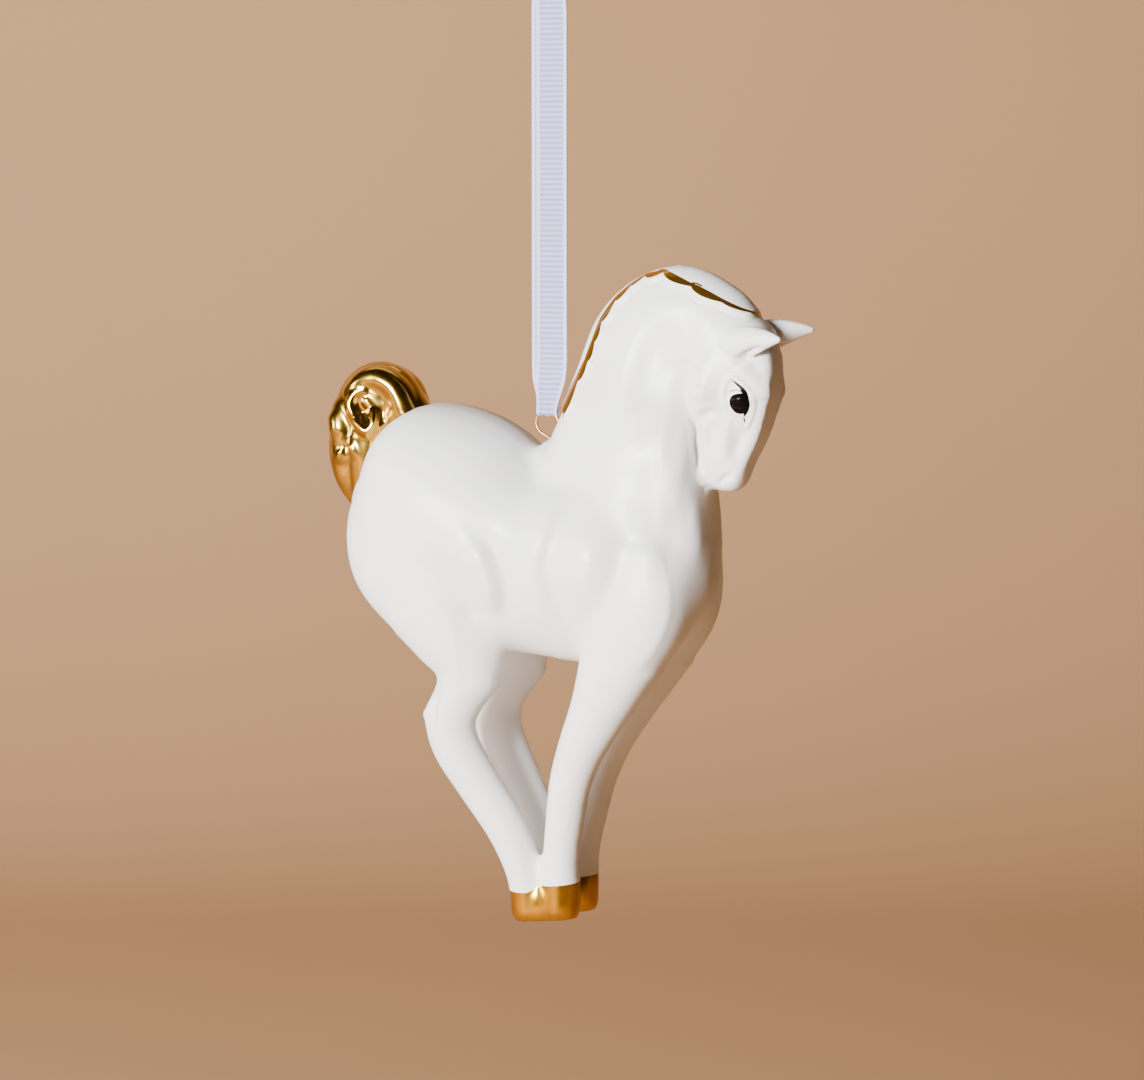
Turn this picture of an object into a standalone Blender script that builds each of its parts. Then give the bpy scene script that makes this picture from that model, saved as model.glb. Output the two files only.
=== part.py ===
"""Porcelain horse ornament hung on a grosgrain ribbon.

The horse is one cast and fired piece: body, arched neck with a raised mane, head, ears,
four legs gathered on one small footing, and a tied tail. A thin wire eye stands in a hole
behind the withers. A narrow ribbon is folded through the eye, and its two runs end in a
knot above it.

Frame: metres, +Z up, +X the way the horse faces, +Y its left side. The origin is the
hanging point, between the ribbon's two runs just under the knot.
"""

import math

import bmesh
import bpy
import numpy as np
from mathutils import Matrix, Vector
from mathutils.bvhtree import BVHTree

# Driving dimensions of the porcelain
HORSE_LENGTH = 0.094  # tail to ear tips
HORSE_WIDTH = 0.037  # across the hips
HORSE_HEIGHT = 0.119  # soles to the top of the crest
SOLE_TILT = 6.0  # degrees by which the cut across the soles rises towards the toes

# Driving dimensions of the wire eye and its hole
WIRE_DIAMETER = 0.0005
EYE_WIDTH = 0.0042  # between the middles of the wire's two sides
EYE_HEIGHT = 0.0064  # from the skin of the back up to the middle of the top bar
EYE_PLACE = -0.0015  # ahead of the middle of the footing, so just behind it
STEM_SPACING = 0.0009  # between the middles of the two stems in the hole
STEM_LENGTH = 0.0034
HOLE_CLEARANCE = 0.0003

# Driving dimensions of the ribbon and its knot
RIBBON_WIDTH = 0.006
RIBBON_THICKNESS = 0.00035
RIBBON_DROP = 0.086  # from the hanging point to the fold
GATHER_LENGTH = 0.0065  # over which the ribbon narrows to pass through the eye
FOLD_CLEARANCE = 0.0003
KNOT_CLEARANCE = 0.0004
KNOT_WIDTH = 0.0098
KNOT_HEIGHT = 0.0078
KNOT_DEPTH = 0.0066
KNOT_END_LENGTH = 0.012
KNOT_END_ANGLE = 24.0  # how far each loose end leans from upright, in degrees

# What follows from them
FOLD_RADIUS = WIRE_DIAMETER / 2 + FOLD_CLEARANCE + RIBBON_THICKNESS / 2
GATHERED_WIDTH = EYE_WIDTH - WIRE_DIAMETER - 2 * FOLD_CLEARANCE
RUN_LENGTH = RIBBON_DROP - KNOT_CLEARANCE
HOLE_RADIUS = (STEM_SPACING + WIRE_DIAMETER) / 2 + HOLE_CLEARANCE
HOLE_DEPTH = STEM_LENGTH + HOLE_CLEARANCE

# Fineness of the sculpting
RING_POINTS = 28
STEPS_PER_SPAN = 5
MASS_VOXEL = 0.0008
MASS_SMOOTHING = 10
DETAIL_VOXEL = 0.0006
DETAIL_SMOOTHING = 3
HORSE_TRIANGLES = 10500

# The tables below are in millimetres, from the middle of the footing, for a horse of this
# length, width and height.
TABLE_SIZE = (94.0, 37.0, 119.0)
MM = 0.001

# Forms: x, y, z of each section's centre, its half depth in the horse's own side plane, its
# half width, how much broader its inner side is (belly, throat, back of the leg), and how
# square it is.
TORSO = (
    (-34.6, 0, 75.4, 9.4, 9.0, 0.00, 0.1),
    (-32.0, 0, 75.0, 14.6, 14.0, 0.00, 0.1),
    (-26.8, 0, 74.0, 19.4, 17.6, 0.00, 0.06),
    (-19.5, 0, 71.9, 21.4, 18.4, -0.04, 0.0),
    (-10.0, 0, 67.8, 19.6, 17.6, -0.08, 0.0),
    (-2.0, 0, 65.3, 17.6, 16.6, -0.10, 0.0),
    (8.0, 0, 65.2, 18.2, 15.8, -0.12, 0.0),
    (17.0, 0, 65.8, 17.4, 14.2, -0.08, 0.0),
    (24.5, 0, 66.8, 13.4, 11.2, 0.00, 0.0),
)
NECK = (
    (13.4, 0, 64.0, 18.0, 13.4, 0.05, 0.0),
    (14.0, 0, 76.5, 17.0, 12.0, 0.10, 0.15),
    (15.6, 0, 88.0, 14.0, 9.6, 0.12, 0.15),
    (17.4, 0, 97.0, 12.2, 8.0, 0.10, 0.0),
    (20.2, 0, 103.6, 12.0, 7.3, 0.05, 0.0),
    (25.4, 0, 106.8, 11.6, 6.9, 0.00, 0.0),
    (30.6, 0, 106.6, 9.2, 6.5, 0.00, 0.0),
    (35.4, 0, 104.4, 7.4, 6.2, 0.00, 0.0),
)
HEAD = (
    (36.0, 0, 106.4, 7.0, 6.4, 0.05, 0.2),
    (36.0, 0, 101.8, 8.0, 6.8, 0.14, 0.2),
    (35.6, 0, 96.6, 7.9, 6.4, 0.20, 0.2),
    (35.2, 0, 91.4, 6.7, 5.2, 0.18, 0.2),
    (34.4, 0, 86.6, 4.9, 4.0, 0.12, 0.1),
    (33.6, 0, 82.8, 4.2, 3.7, 0.00, 0.0),
)
FORELEG = (
    (19.5, -6.2, 68.0, 9.5, 7.4, 0.0, 0.0),
    (18.6, -6.9, 58.0, 9.8, 7.6, 0.0, 0.0),
    (15.6, -6.9, 47.5, 7.2, 6.3, 0.0, 0.0),
    (11.8, -6.6, 39.5, 5.4, 5.1, 0.0, 0.0),
    (8.4, -6.4, 32.6, 4.4, 4.4, 0.0, 0.0),
    (6.0, -6.0, 26.2, 3.9, 3.9, 0.0, 0.0),
    (4.5, -5.2, 19.0, 3.6, 3.6, 0.0, 0.0),
    (3.4, -4.4, 12.0, 3.4, 3.5, 0.0, 0.0),
    (3.1, -4.0, 6.0, 3.7, 3.7, 0.0, 0.0),
    (3.0, -4.0, 1.6, 3.7, 3.7, 0.0, 0.0),
)
HIND_LEG = (
    (-24.2, -7.4, 74.0, 13.2, 9.6, 0.0, 0.0),
    (-22.4, -8.8, 65.4, 13.8, 9.2, 0.0, 0.0),
    (-16.6, -9.6, 54.0, 9.0, 7.3, 0.0, 0.0),
    (-12.2, -9.9, 46.8, 6.4, 5.6, 0.0, 0.0),
    (-14.2, -9.8, 41.6, 4.9, 4.7, 0.0, 0.0),
    (-16.5, -9.6, 36.6, 4.7, 4.3, 0.0, 0.0),
    (-15.6, -9.0, 31.4, 4.5, 4.1, 0.0, 0.0),
    (-11.8, -7.8, 24.8, 4.2, 3.9, 0.0, 0.0),
    (-6.8, -6.2, 16.6, 3.9, 3.7, 0.0, 0.0),
    (-4.2, -4.8, 9.4, 3.5, 3.6, 0.0, 0.0),
    (-3.4, -4.1, 4.5, 3.4, 3.7, 0.0, 0.0),
    (-3.2, -4.0, 0.8, 3.4, 3.7, 0.0, 0.0),
)
TAIL = (
    (-27.4, 0, 88.4, 4.6, 5.2, 0.0, 0.0),
    (-30.6, 0, 92.6, 5.0, 6.0, 0.0, 0.0),
    (-34.2, 0, 94.8, 5.6, 6.8, 0.0, 0.0),
    (-38.6, 0, 93.4, 6.2, 7.0, 0.0, 0.0),
    (-41.4, 0, 88.6, 5.6, 6.2, 0.0, 0.0),
    (-42.0, 0, 83.0, 4.4, 4.8, 0.0, 0.0),
    (-41.2, 0, 77.6, 2.0, 2.8, 0.0, 0.0),
)
TAIL_HEART = (
    (-33.0, 0, 92.0, 4.0, 4.6, 0.0, 0.0),
    (-36.6, 0, 88.6, 5.0, 5.4, 0.0, 0.0),
    (-38.4, 0, 83.4, 4.4, 4.6, 0.0, 0.0),
    (-39.2, 0, 78.6, 2.4, 3.0, 0.0, 0.0),
)
EAR = (
    (34.6, -4.6, 105.6, 3.8, 2.6, 0.0, 0.0),
    (38.4, -5.6, 106.8, 3.1, 2.3, 0.0, 0.0),
    (41.8, -6.6, 107.3, 2.2, 1.7, 0.0, 0.0),
    (44.8, -7.5, 107.4, 1.2, 1.0, 0.0, 0.0),
    (46.9, -8.1, 107.3, 0.5, 0.5, 0.0, 0.0),
)

# Modelling strokes on both sides: the x, z points of each as seen from the side, how far
# it reaches and how high it raises the surface, or how deep it cuts it.
STROKES = {
    "flank": (((-11.7, 73.0), (-8.4, 70.0), (-5.6, 65.2), (-3.9, 59.9), (-3.0, 52.0)), 4.0, -0.9),
    "shoulder": (((8.1, 73.6), (6.0, 68.5), (4.8, 63.7), (5.8, 58.5), (9.6, 51.5)), 4.0, -0.8),
    "throat": (((20.5, 97.5), (24.2, 90.6), (28.4, 83.7), (30.9, 78.0), (32.4, 72.5)), 3.6, -0.8),
    "hock": (((-17.2, 42.5), (-18.2, 39.0), (-18.2, 35.0)), 1.8, -0.5),
    "point of hock": (((-20.4, 38.6), (-21.0, 36.6)), 2.4, 0.6),
    "eye": (((38.0, 96.6), (38.4, 95.4)), 2.8, 0.9),
    "cheek": (((31.6, 97.0), (31.4, 94.0)), 4.0, 0.6),
    "nostril": (((35.0, 82.9), (35.3, 82.3)), 1.3, -0.5),
    "tail arch": (((-37.2, 98.6), (-33.4, 97.9), (-30.8, 95.6), (-29.3, 92.4)), 2.0, 0.8),
    "tail arch edge": (((-37.0, 95.6), (-34.6, 95.6), (-32.6, 93.6), (-31.8, 90.8)), 1.4, -0.9),
    "tail curl": (((-38.6, 96.0), (-40.0, 93.6), (-39.2, 91.0), (-37.0, 88.8), (-35.2, 91.2)), 1.4, 0.9),
    "tail curl heart": (((-37.8, 94.0), (-37.4, 91.4)), 1.2, -0.8),
    "tail lock": (((-42.6, 95.4), (-42.8, 91.4), (-40.8, 87.0), (-39.8, 83.4)), 1.3, -0.8),
    "tail end": (((-45.6, 86.0), (-43.4, 84.4), (-42.2, 80.6)), 1.3, -0.8),
}
# The lower edge of the mane, from the withers to the poll
MANE_EDGE = (
    (5.2, 93.6), (6.8, 96.8), (8.6, 101.2), (10.4, 106.0), (13.0, 111.0), (16.8, 114.9),
    (21.0, 116.9), (25.0, 116.6), (29.4, 114.8), (34.0, 112.8), (39.8, 110.9),
)
MANE_RISE = 0.6
MANE_SOFTNESS = 0.35
MANE_REACH = 9.0
LOBE_LENGTH = 4.6
LOBE_DEPTH = 0.7

LATERAL = Vector((0, 1, 0))


def table_to_metres():
    """The stretch from the tables' millimetres to the horse's real size."""
    real = (HORSE_LENGTH, HORSE_WIDTH, HORSE_HEIGHT)
    return Matrix.Diagonal([size / table for size, table in zip(real, TABLE_SIZE)] + [1.0])


def catmull_rom(four, t):
    """The point a share t of the way from the second of four rows to the third."""
    weights = (
        -0.5 * t**3 + t**2 - 0.5 * t,
        1.5 * t**3 - 2.5 * t**2 + 1,
        -1.5 * t**3 + 2 * t**2 + 0.5 * t,
        0.5 * t**3 - 0.5 * t**2,
    )
    return tuple(sum(w * row[k] for w, row in zip(weights, four)) for k in range(len(four[0])))


def smooth_rows(rows, steps):
    """The rows with more between them, on a Catmull-Rom curve through every column."""
    first = tuple(2 * a - b for a, b in zip(rows[0], rows[1]))
    last = tuple(2 * a - b for a, b in zip(rows[-1], rows[-2]))
    padded = [first, *rows, last]
    fine = []
    for i in range(1, len(padded) - 2):
        for step in range(steps):
            fine.append(catmull_rom(padded[i - 1 : i + 3], step / steps))
    fine.append(rows[-1])
    return fine


def squared(share, square):
    """A circle's coordinate pushed towards the corners of its box."""
    return math.copysign(abs(share) ** (1 - square), share)


def ring(bm, centre, tangent, depth, width, skew, square):
    """Adds one section's ring of vertices, square to the tangent."""
    across = (LATERAL - LATERAL.dot(tangent) * tangent).normalized()
    inward = across.cross(tangent)
    corners = []
    for i in range(RING_POINTS):
        angle = math.tau * i / RING_POINTS
        inner = squared(math.cos(angle), square)
        outer = squared(math.sin(angle), square)
        breadth = width * (1 + skew * inner)
        offset = inward * depth * inner + across * breadth * outer
        corners.append(bm.verts.new(centre + offset))
    return corners


def dome(bm, centre, way, tangent, depth, width, skew, square):
    """Rings that close an end of a loft like part of a ball."""
    rings = []
    for angle in (0.35, 0.7, 1.05, 1.35):
        reach = way * math.sin(angle) * 0.7 * min(depth, width)
        shrink = math.cos(angle)
        rings.append(ring(bm, centre + reach, tangent, depth * shrink, width * shrink, skew, square))
    return rings


def loft(bm, rows, side=1):
    """Adds a closed form through the table's sections, on the given side, with domed ends."""
    fine = smooth_rows([(x, y * side, z, *rest) for x, y, z, *rest in rows], STEPS_PER_SPAN)
    centres = [Vector(row[:3]) for row in fine]
    rings = []
    for i, (centre, row) in enumerate(zip(centres, fine)):
        ahead = centres[min(i + 1, len(fine) - 1)]
        tangent = (ahead - centres[max(i - 1, 0)]).normalized()
        section = row[3:]
        if i == 0:
            rings += dome(bm, centre, -tangent, tangent, *section)[::-1]
        rings.append(ring(bm, centre, tangent, *section))
        if i == len(fine) - 1:
            rings += dome(bm, centre, tangent, tangent, *section)
    for a, b in zip(rings, rings[1:]):
        for i in range(RING_POINTS):
            j = (i + 1) % RING_POINTS
            bm.faces.new((a[i], a[j], b[j], b[i]))
    bm.faces.new(rings[0][::-1])
    bm.faces.new(rings[-1])


def collection_named(name):
    """A new collection in the scene."""
    made = bpy.data.collections.new(name)
    bpy.context.scene.collection.children.link(made)
    return made


def mesh_from(bm, name):
    """The bmesh as a mesh whose faces point outwards."""
    bmesh.ops.recalc_face_normals(bm, faces=bm.faces[:])
    mesh = bpy.data.meshes.new(name)
    bm.to_mesh(mesh)
    bm.free()
    return mesh


def add_object(name, data, collection):
    """A new object with this data, in this collection."""
    made = bpy.data.objects.new(name, data)
    collection.objects.link(made)
    return made


def hide_helper(helper):
    """Keeps a guide or cutter out of the finished ornament."""
    helper.hide_render = True
    helper.display_type = "WIRE"
    return helper


def give_material(made, colour, roughness, metallic=0.0):
    """Gives an object its own Principled material."""
    material = bpy.data.materials.new(made.name)
    material.use_nodes = True
    shader = material.node_tree.nodes["Principled BSDF"]
    shader.inputs["Base Color"].default_value = (*colour, 1)
    shader.inputs["Roughness"].default_value = roughness
    shader.inputs["Metallic"].default_value = metallic
    made.data.materials.append(material)


def evaluated_mesh(made, name):
    """A plain mesh of the object as its modifiers leave it."""
    graph = bpy.context.evaluated_depsgraph_get()
    mesh = bpy.data.meshes.new_from_object(made.evaluated_get(graph), depsgraph=graph)
    mesh.name = name
    return mesh


def fuse(made, voxel, smoothing):
    """Runs what overlaps in the object together, then eases its creases."""
    remesh = made.modifiers.new("fuse", "REMESH")
    remesh.mode = "VOXEL"
    remesh.voxel_size = voxel / MM
    remesh.use_smooth_shade = True
    ease = made.modifiers.new("ease", "SMOOTH")
    ease.factor = 0.5
    ease.iterations = smoothing


def nearest_on_line(points, line):
    """For each point: distance to the line, which side of it, and how far along it lies."""
    best = np.full(len(points), np.inf)
    side = np.zeros(len(points))
    along = np.zeros(len(points))
    walked = 0.0
    for start, end in zip(line, line[1:]):
        start = np.array(start)
        step = np.array(end) - start
        length = np.hypot(*step)
        share = np.clip(((points - start) @ step) / length**2, 0, 1)
        gap = points - start - share[:, None] * step
        distance = np.hypot(gap[:, 0], gap[:, 1])
        nearer = distance < best
        best[nearer] = distance[nearer]
        side[nearer] = np.sign(step[0] * gap[nearer, 1] - step[1] * gap[nearer, 0])
        along[nearer] = walked + share[nearer] * length
        walked += length
    return best, side, along, walked


def smooth_step(low, high, value):
    """0 below low, 1 above high, and an even curve between them."""
    t = np.clip((value - low) / (high - low), 0, 1)
    return t * t * (3 - 2 * t)


def model_relief(mesh):
    """Works the strokes and the mane into the surface, both sides alike."""
    count = len(mesh.vertices)
    places = np.empty(count * 3)
    normals = np.empty(count * 3)
    mesh.vertices.foreach_get("co", places)
    mesh.vertices.foreach_get("normal", normals)
    places = places.reshape(-1, 3)
    normals = normals.reshape(-1, 3)
    seen = places[:, (0, 2)]
    facing = smooth_step(0.1, 0.5, np.abs(normals[:, 1]))
    rise = np.zeros(count)
    for points, reach, height in STROKES.values():
        distance, _, along, length = nearest_on_line(seen, smooth_rows(points, 4))
        taper = smooth_step(-0.3, 0.4, np.minimum(along, length - along) / length)
        rise += height * facing * taper * (1 - smooth_step(0, 1, distance / reach))
    rise += mane_rise(seen)
    places += normals * rise[:, None]
    mesh.vertices.foreach_set("co", places.reshape(-1))
    mesh.update()


def mane_rise(seen):
    """How high the mane stands at each point, with its edge in round lobes."""
    distance, side, along, length = nearest_on_line(seen, smooth_rows(MANE_EDGE, 4))
    lobes = LOBE_DEPTH * (np.abs(np.sin(math.pi * along / LOBE_LENGTH)) - 0.5)
    inside = smooth_step(-MANE_SOFTNESS, MANE_SOFTNESS, side * distance + lobes)
    ends = smooth_step(0, 1.5, along) * smooth_step(0, 1.5, length - along)
    return MANE_RISE * inside * ends * (distance < MANE_REACH)


def fused_masses(helpers):
    """The large forms, run together as wet clay is."""
    bm = bmesh.new()
    for rows in (TORSO, NECK, HEAD):
        loft(bm, rows)
    for side in (1, -1):
        loft(bm, FORELEG, side)
        loft(bm, HIND_LEG, side)
    masses = hide_helper(add_object("masses", mesh_from(bm, "masses"), helpers))
    fuse(masses, MASS_VOXEL, MASS_SMOOTHING)
    return evaluated_mesh(masses, "fused_masses")


def modelled_form(helpers):
    """The whole horse in the tables' millimetres, with its ears, tail and relief."""
    bm = bmesh.new()
    bm.from_mesh(fused_masses(helpers))
    loft(bm, TAIL)
    loft(bm, TAIL_HEART)
    for side in (1, -1):
        loft(bm, EAR, side)
    form = hide_helper(add_object("form", mesh_from(bm, "form"), helpers))
    fuse(form, DETAIL_VOXEL, DETAIL_SMOOTHING)
    mesh = evaluated_mesh(form, "modelled_form")
    model_relief(mesh)
    return mesh


def with_flat_footing(mesh):
    """The mesh with its triangles thinned and its soles cut flat."""
    tilt = math.radians(SOLE_TILT)
    bm = bmesh.new()
    bm.from_mesh(mesh)
    below = bmesh.ops.bisect_plane(
        bm, geom=bm.verts[:] + bm.edges[:] + bm.faces[:], plane_co=(0, 0, 0),
        plane_no=(-math.sin(tilt), 0, math.cos(tilt)), clear_inner=True,
    )
    cut = [item for item in below["geom_cut"] if isinstance(item, bmesh.types.BMEdge)]
    bmesh.ops.contextual_create(bm, geom=cut)
    bmesh.ops.triangulate(bm, faces=bm.faces[:])
    return mesh_from(bm, "horse")


def thinned(mesh, helpers):
    """The mesh with fewer triangles."""
    holder = hide_helper(add_object("thinning", mesh, helpers))
    thin = holder.modifiers.new("thin", "DECIMATE")
    mesh.calc_loop_triangles()
    thin.ratio = HORSE_TRIANGLES / len(mesh.loop_triangles)
    return evaluated_mesh(holder, "thinned")


def skin_height(mesh, x):
    """How high the middle of the back is, this far forward."""
    bm = bmesh.new()
    bm.from_mesh(mesh)
    tree = BVHTree.FromBMesh(bm)
    bm.free()
    return tree.ray_cast(Vector((x, 0, HORSE_HEIGHT)), Vector((0, 0, -1)))[0].z


def bore_hole(horse, top, helpers):
    """Cuts the blind hole in which the wire eye stands."""
    bm = bmesh.new()
    bmesh.ops.create_cone(
        bm, segments=24, radius1=HOLE_RADIUS, radius2=HOLE_RADIUS, depth=2 * HOLE_DEPTH,
        cap_ends=True,
    )
    cutter = hide_helper(add_object("hole_cutter", mesh_from(bm, "hole_cutter"), helpers))
    cutter.location = (EYE_PLACE, 0, top)
    cutter.parent = horse.parent
    cut = horse.modifiers.new("hole", "BOOLEAN")
    cut.operation = "DIFFERENCE"
    cut.object = cutter


def make_eye(parts, top):
    """The wire eye: two stems in the hole, opening to a loop with a level top bar."""
    stem = STEM_SPACING / 2
    half = EYE_WIDTH / 2
    right = [
        (stem, -STEM_LENGTH), (stem, 0.02 * EYE_HEIGHT), (0.42 * half, 0.25 * EYE_HEIGHT),
        (0.78 * half, 0.5 * EYE_HEIGHT), (half, 0.73 * EYE_HEIGHT),
        (0.93 * half, 0.9 * EYE_HEIGHT), (0.68 * half, EYE_HEIGHT), (0.0, EYE_HEIGHT),
    ]
    left = [(-x, z) for x, z in reversed(right[:-1])]
    path = smooth_rows(right[1:] + left[:-1], 4)
    points = [right[0], *path, left[-1]]
    curve = bpy.data.curves.new("wire_eye", "CURVE")
    curve.dimensions = "3D"
    curve.bevel_depth = WIRE_DIAMETER / 2
    curve.bevel_resolution = 2
    curve.use_fill_caps = True
    spline = curve.splines.new("POLY")
    spline.points.add(len(points) - 1)
    for point, (x, z) in zip(spline.points, points):
        point.co = (x, 0, z, 1)
    eye = add_object("wire_eye", curve, parts)
    eye.location = (EYE_PLACE, 0, top)
    give_material(eye, (0.72, 0.45, 0.22), 0.3, 1.0)
    return eye


def ribbon_point(along, across):
    """A point on the ribbon: along from run to run over the fold, across from -1 to 1."""
    quarter_turn = math.pi * FOLD_RADIUS / 2
    if abs(along) <= quarter_turn:
        angle = along / FOLD_RADIUS
        y, z = FOLD_RADIUS * math.sin(angle), -FOLD_RADIUS * math.cos(angle)
    else:
        y, z = math.copysign(FOLD_RADIUS, along), abs(along) - quarter_turn
    opened = float(smooth_step(0, GATHER_LENGTH, z))
    width = GATHERED_WIDTH + (RIBBON_WIDTH - GATHERED_WIDTH) * opened
    return Vector((width / 2 * across, y, min(z, RUN_LENGTH)))


def make_ribbon(parts):
    """The ribbon: a flat strip folded under the eye's top bar, with both runs upright."""
    quarter_turn = math.pi * FOLD_RADIUS / 2
    opened = quarter_turn + GATHER_LENGTH
    turn = np.linspace(0, quarter_turn, 7)
    opening = np.linspace(quarter_turn, opened, 7)[1:]
    run = np.linspace(opened, quarter_turn + RUN_LENGTH, 9)[1:]
    half = [*turn, *opening, *run]
    stations = [-along for along in reversed(half[1:])] + half
    bm = bmesh.new()
    bmesh.ops.create_grid(bm, x_segments=len(stations) - 1, y_segments=4, size=1)
    for vert in bm.verts:
        column = round((vert.co.x + 1) / 2 * (len(stations) - 1))
        vert.co = ribbon_point(stations[column], vert.co.y)
    ribbon = add_object("ribbon", mesh_from(bm, "ribbon"), parts)
    ribbon.location = (0, 0, -RIBBON_DROP)
    thicken = ribbon.modifiers.new("thickness", "SOLIDIFY")
    thicken.thickness = RIBBON_THICKNESS
    thicken.offset = 0
    give_material(ribbon, (0.82, 0.80, 0.90), 0.7)
    return ribbon


def make_knot(parts, helpers):
    """The knot that closes the loop: a rounded lump with the ribbon's two ends above it."""
    bm = bmesh.new()
    lump = bmesh.ops.create_uvsphere(bm, u_segments=20, v_segments=12, radius=0.5)
    bmesh.ops.scale(bm, vec=(KNOT_WIDTH, KNOT_DEPTH, KNOT_HEIGHT), verts=lump["verts"])
    knot = add_object("ribbon_knot", mesh_from(bm, "ribbon_knot"), parts)
    knot.location = (0, 0, KNOT_HEIGHT / 2)
    give_material(knot, (0.82, 0.80, 0.90), 0.7)
    for name, lean in (("near", -1), ("far", 1)):
        bm = bmesh.new()
        bmesh.ops.create_cube(bm, size=1)
        size = (RIBBON_WIDTH, 2 * RIBBON_THICKNESS, KNOT_END_LENGTH + KNOT_HEIGHT / 2)
        bmesh.ops.scale(bm, vec=size, verts=bm.verts)
        bmesh.ops.translate(bm, vec=(0, 0, size[2] / 2), verts=bm.verts)
        end = hide_helper(add_object("knot_end_" + name, mesh_from(bm, "knot_end"), helpers))
        end.location = knot.location
        end.rotation_euler = (0, math.radians(lean * KNOT_END_ANGLE), 0)
        join = knot.modifiers.new(name, "BOOLEAN")
        join.operation = "UNION"
        join.object = end
    return knot


def main():
    """Clears the scene and builds the ornament."""
    for old in list(bpy.data.objects):
        bpy.data.objects.remove(old)
    parts = collection_named("horse_ornament")
    helpers = collection_named("helpers")
    footing = add_object("footing", None, helpers)

    form = thinned(modelled_form(helpers), helpers)
    form = with_flat_footing(form)
    form.transform(table_to_metres())
    top = skin_height(form, EYE_PLACE)
    horse = add_object("horse", form, parts)
    give_material(horse, (0.88, 0.88, 0.87), 0.3)
    horse.parent = footing
    bore_hole(horse, top, helpers)

    eye = make_eye(parts, top)
    eye.parent = footing
    footing.location = (-EYE_PLACE, 0, -RIBBON_DROP - EYE_HEIGHT - top)
    make_ribbon(parts)
    make_knot(parts, helpers)
    form.shade_smooth()


main()
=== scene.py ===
"""Looks of a porcelain horse ornament that hangs on a grosgrain ribbon.

The horse is sculpted as one piece of cast porcelain: its large forms are shaped from
spheres, run together, refined where the detail is, and worked with modelling strokes. Its
mane edge and hooves are painted gold and its eyes black. The tied tail is gilded all over.
The ribbon, its knot, the wire eye and the studio follow.

Tables of the horse are in millimetres from the middle of its footing: x the way it faces,
y to its left, z up. Finished pieces are in metres from the hanging point, as the frame is.
"""

import logging
import math
from collections.abc import Sequence
from dataclasses import dataclass, field
from enum import Enum

import bpy
import numpy as np
from mathutils import Matrix, Vector


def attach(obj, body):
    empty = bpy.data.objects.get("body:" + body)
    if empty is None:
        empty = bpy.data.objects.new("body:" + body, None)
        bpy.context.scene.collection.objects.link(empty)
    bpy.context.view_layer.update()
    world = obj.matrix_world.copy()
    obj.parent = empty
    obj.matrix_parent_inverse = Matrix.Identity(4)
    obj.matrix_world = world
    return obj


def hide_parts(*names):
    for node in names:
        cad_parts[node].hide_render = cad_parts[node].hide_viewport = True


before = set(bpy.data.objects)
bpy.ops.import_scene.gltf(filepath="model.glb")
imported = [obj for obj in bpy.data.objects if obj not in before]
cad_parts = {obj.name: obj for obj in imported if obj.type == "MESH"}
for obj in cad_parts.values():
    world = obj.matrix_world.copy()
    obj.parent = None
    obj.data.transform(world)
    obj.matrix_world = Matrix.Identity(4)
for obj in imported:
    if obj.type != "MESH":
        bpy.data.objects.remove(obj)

LOG = logging.getLogger("horse_ornament")
MM = 0.001
BODY = "root"
PHOTO_SIZE = (1144, 1080)
FOOTING = (1.5, 0.0, -177.781)  # middle of the horse's footing, in mm from the hanging point
OUTSIDE = -9.0  # a distance well outside any paint
LINE_STEPS = 5  # how finely a stroke's line is drawn between its points
SOFT_ENDS = (-0.3, 0.35)  # shares of its length over which a stroke gains its height
STEP_ENDS = (0.0, 0.35)  # the same for an edge, which dies out at its ends
CAP_RINGS = (1.45, 1.1, 0.75, 0.4)  # angles of the rings in a form's rounded ends
CAP_LENGTH = 0.7  # how long such an end is, as a share of the smaller half size there

Rows = tuple[tuple[float, ...], ...]
Source = bpy.types.NodeSocket | float | tuple[float, ...]


class Side(Enum):
    """Which side of the horse a form or stroke is on."""

    NEAR = -1
    FAR = 1


class Profile(Enum):
    """How a modelling stroke changes the surface across its line."""

    SOFT = "an even rise or hollow that fades on both sides"
    ROLL = "a round lock with a crease where it meets the next"
    STEP = "an edge that stands up on the left of the line and fades behind it"


@dataclass(frozen=True)
class Stroke:
    """One stroke of the modelling tool, seen from the side.

    Attributes:
        line: x, z of the points it runs through.
        reach: How far from its line it is felt.
        height: How far it raises the surface, or sinks it where it is below zero.
        profile: Its form across the line.
        edge: Half the width over which an edge rises.
    """

    line: Rows
    reach: float
    height: float
    profile: Profile = Profile.SOFT
    edge: float = 0.6


@dataclass(frozen=True)
class Eased:
    """A place on both sides of the horse where the surface is smoothed further."""

    middle: tuple[float, float, float]
    reach: tuple[float, float, float]
    rounds: int


# Working with meshes


def deselect_all() -> None:
    """Leaves nothing selected, so that an operator acts on the new piece alone."""
    bpy.ops.object.select_all(action="DESELECT")


def name_new(name: str) -> bpy.types.Object:
    """Names the object that an operator has just added.

    Args:
        name: The piece's name.

    Returns:
        The object.
    """
    piece = bpy.context.active_object
    piece.name = name
    piece.data.name = name
    return piece


def read_points(mesh: bpy.types.Mesh, kind: str = "co") -> np.ndarray:
    """The mesh's vertex places or normals.

    Args:
        mesh: The mesh.
        kind: "co" or "normal".

    Returns:
        One row of three numbers for each vertex.
    """
    flat = np.empty(len(mesh.vertices) * 3)
    mesh.vertices.foreach_get(kind, flat)
    return flat.reshape(-1, 3)


def write_points(mesh: bpy.types.Mesh, points: np.ndarray) -> None:
    """Moves every vertex.

    Args:
        mesh: The mesh.
        points: One row of three numbers for each vertex.
    """
    mesh.vertices.foreach_set("co", points.reshape(-1))
    mesh.update()


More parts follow.
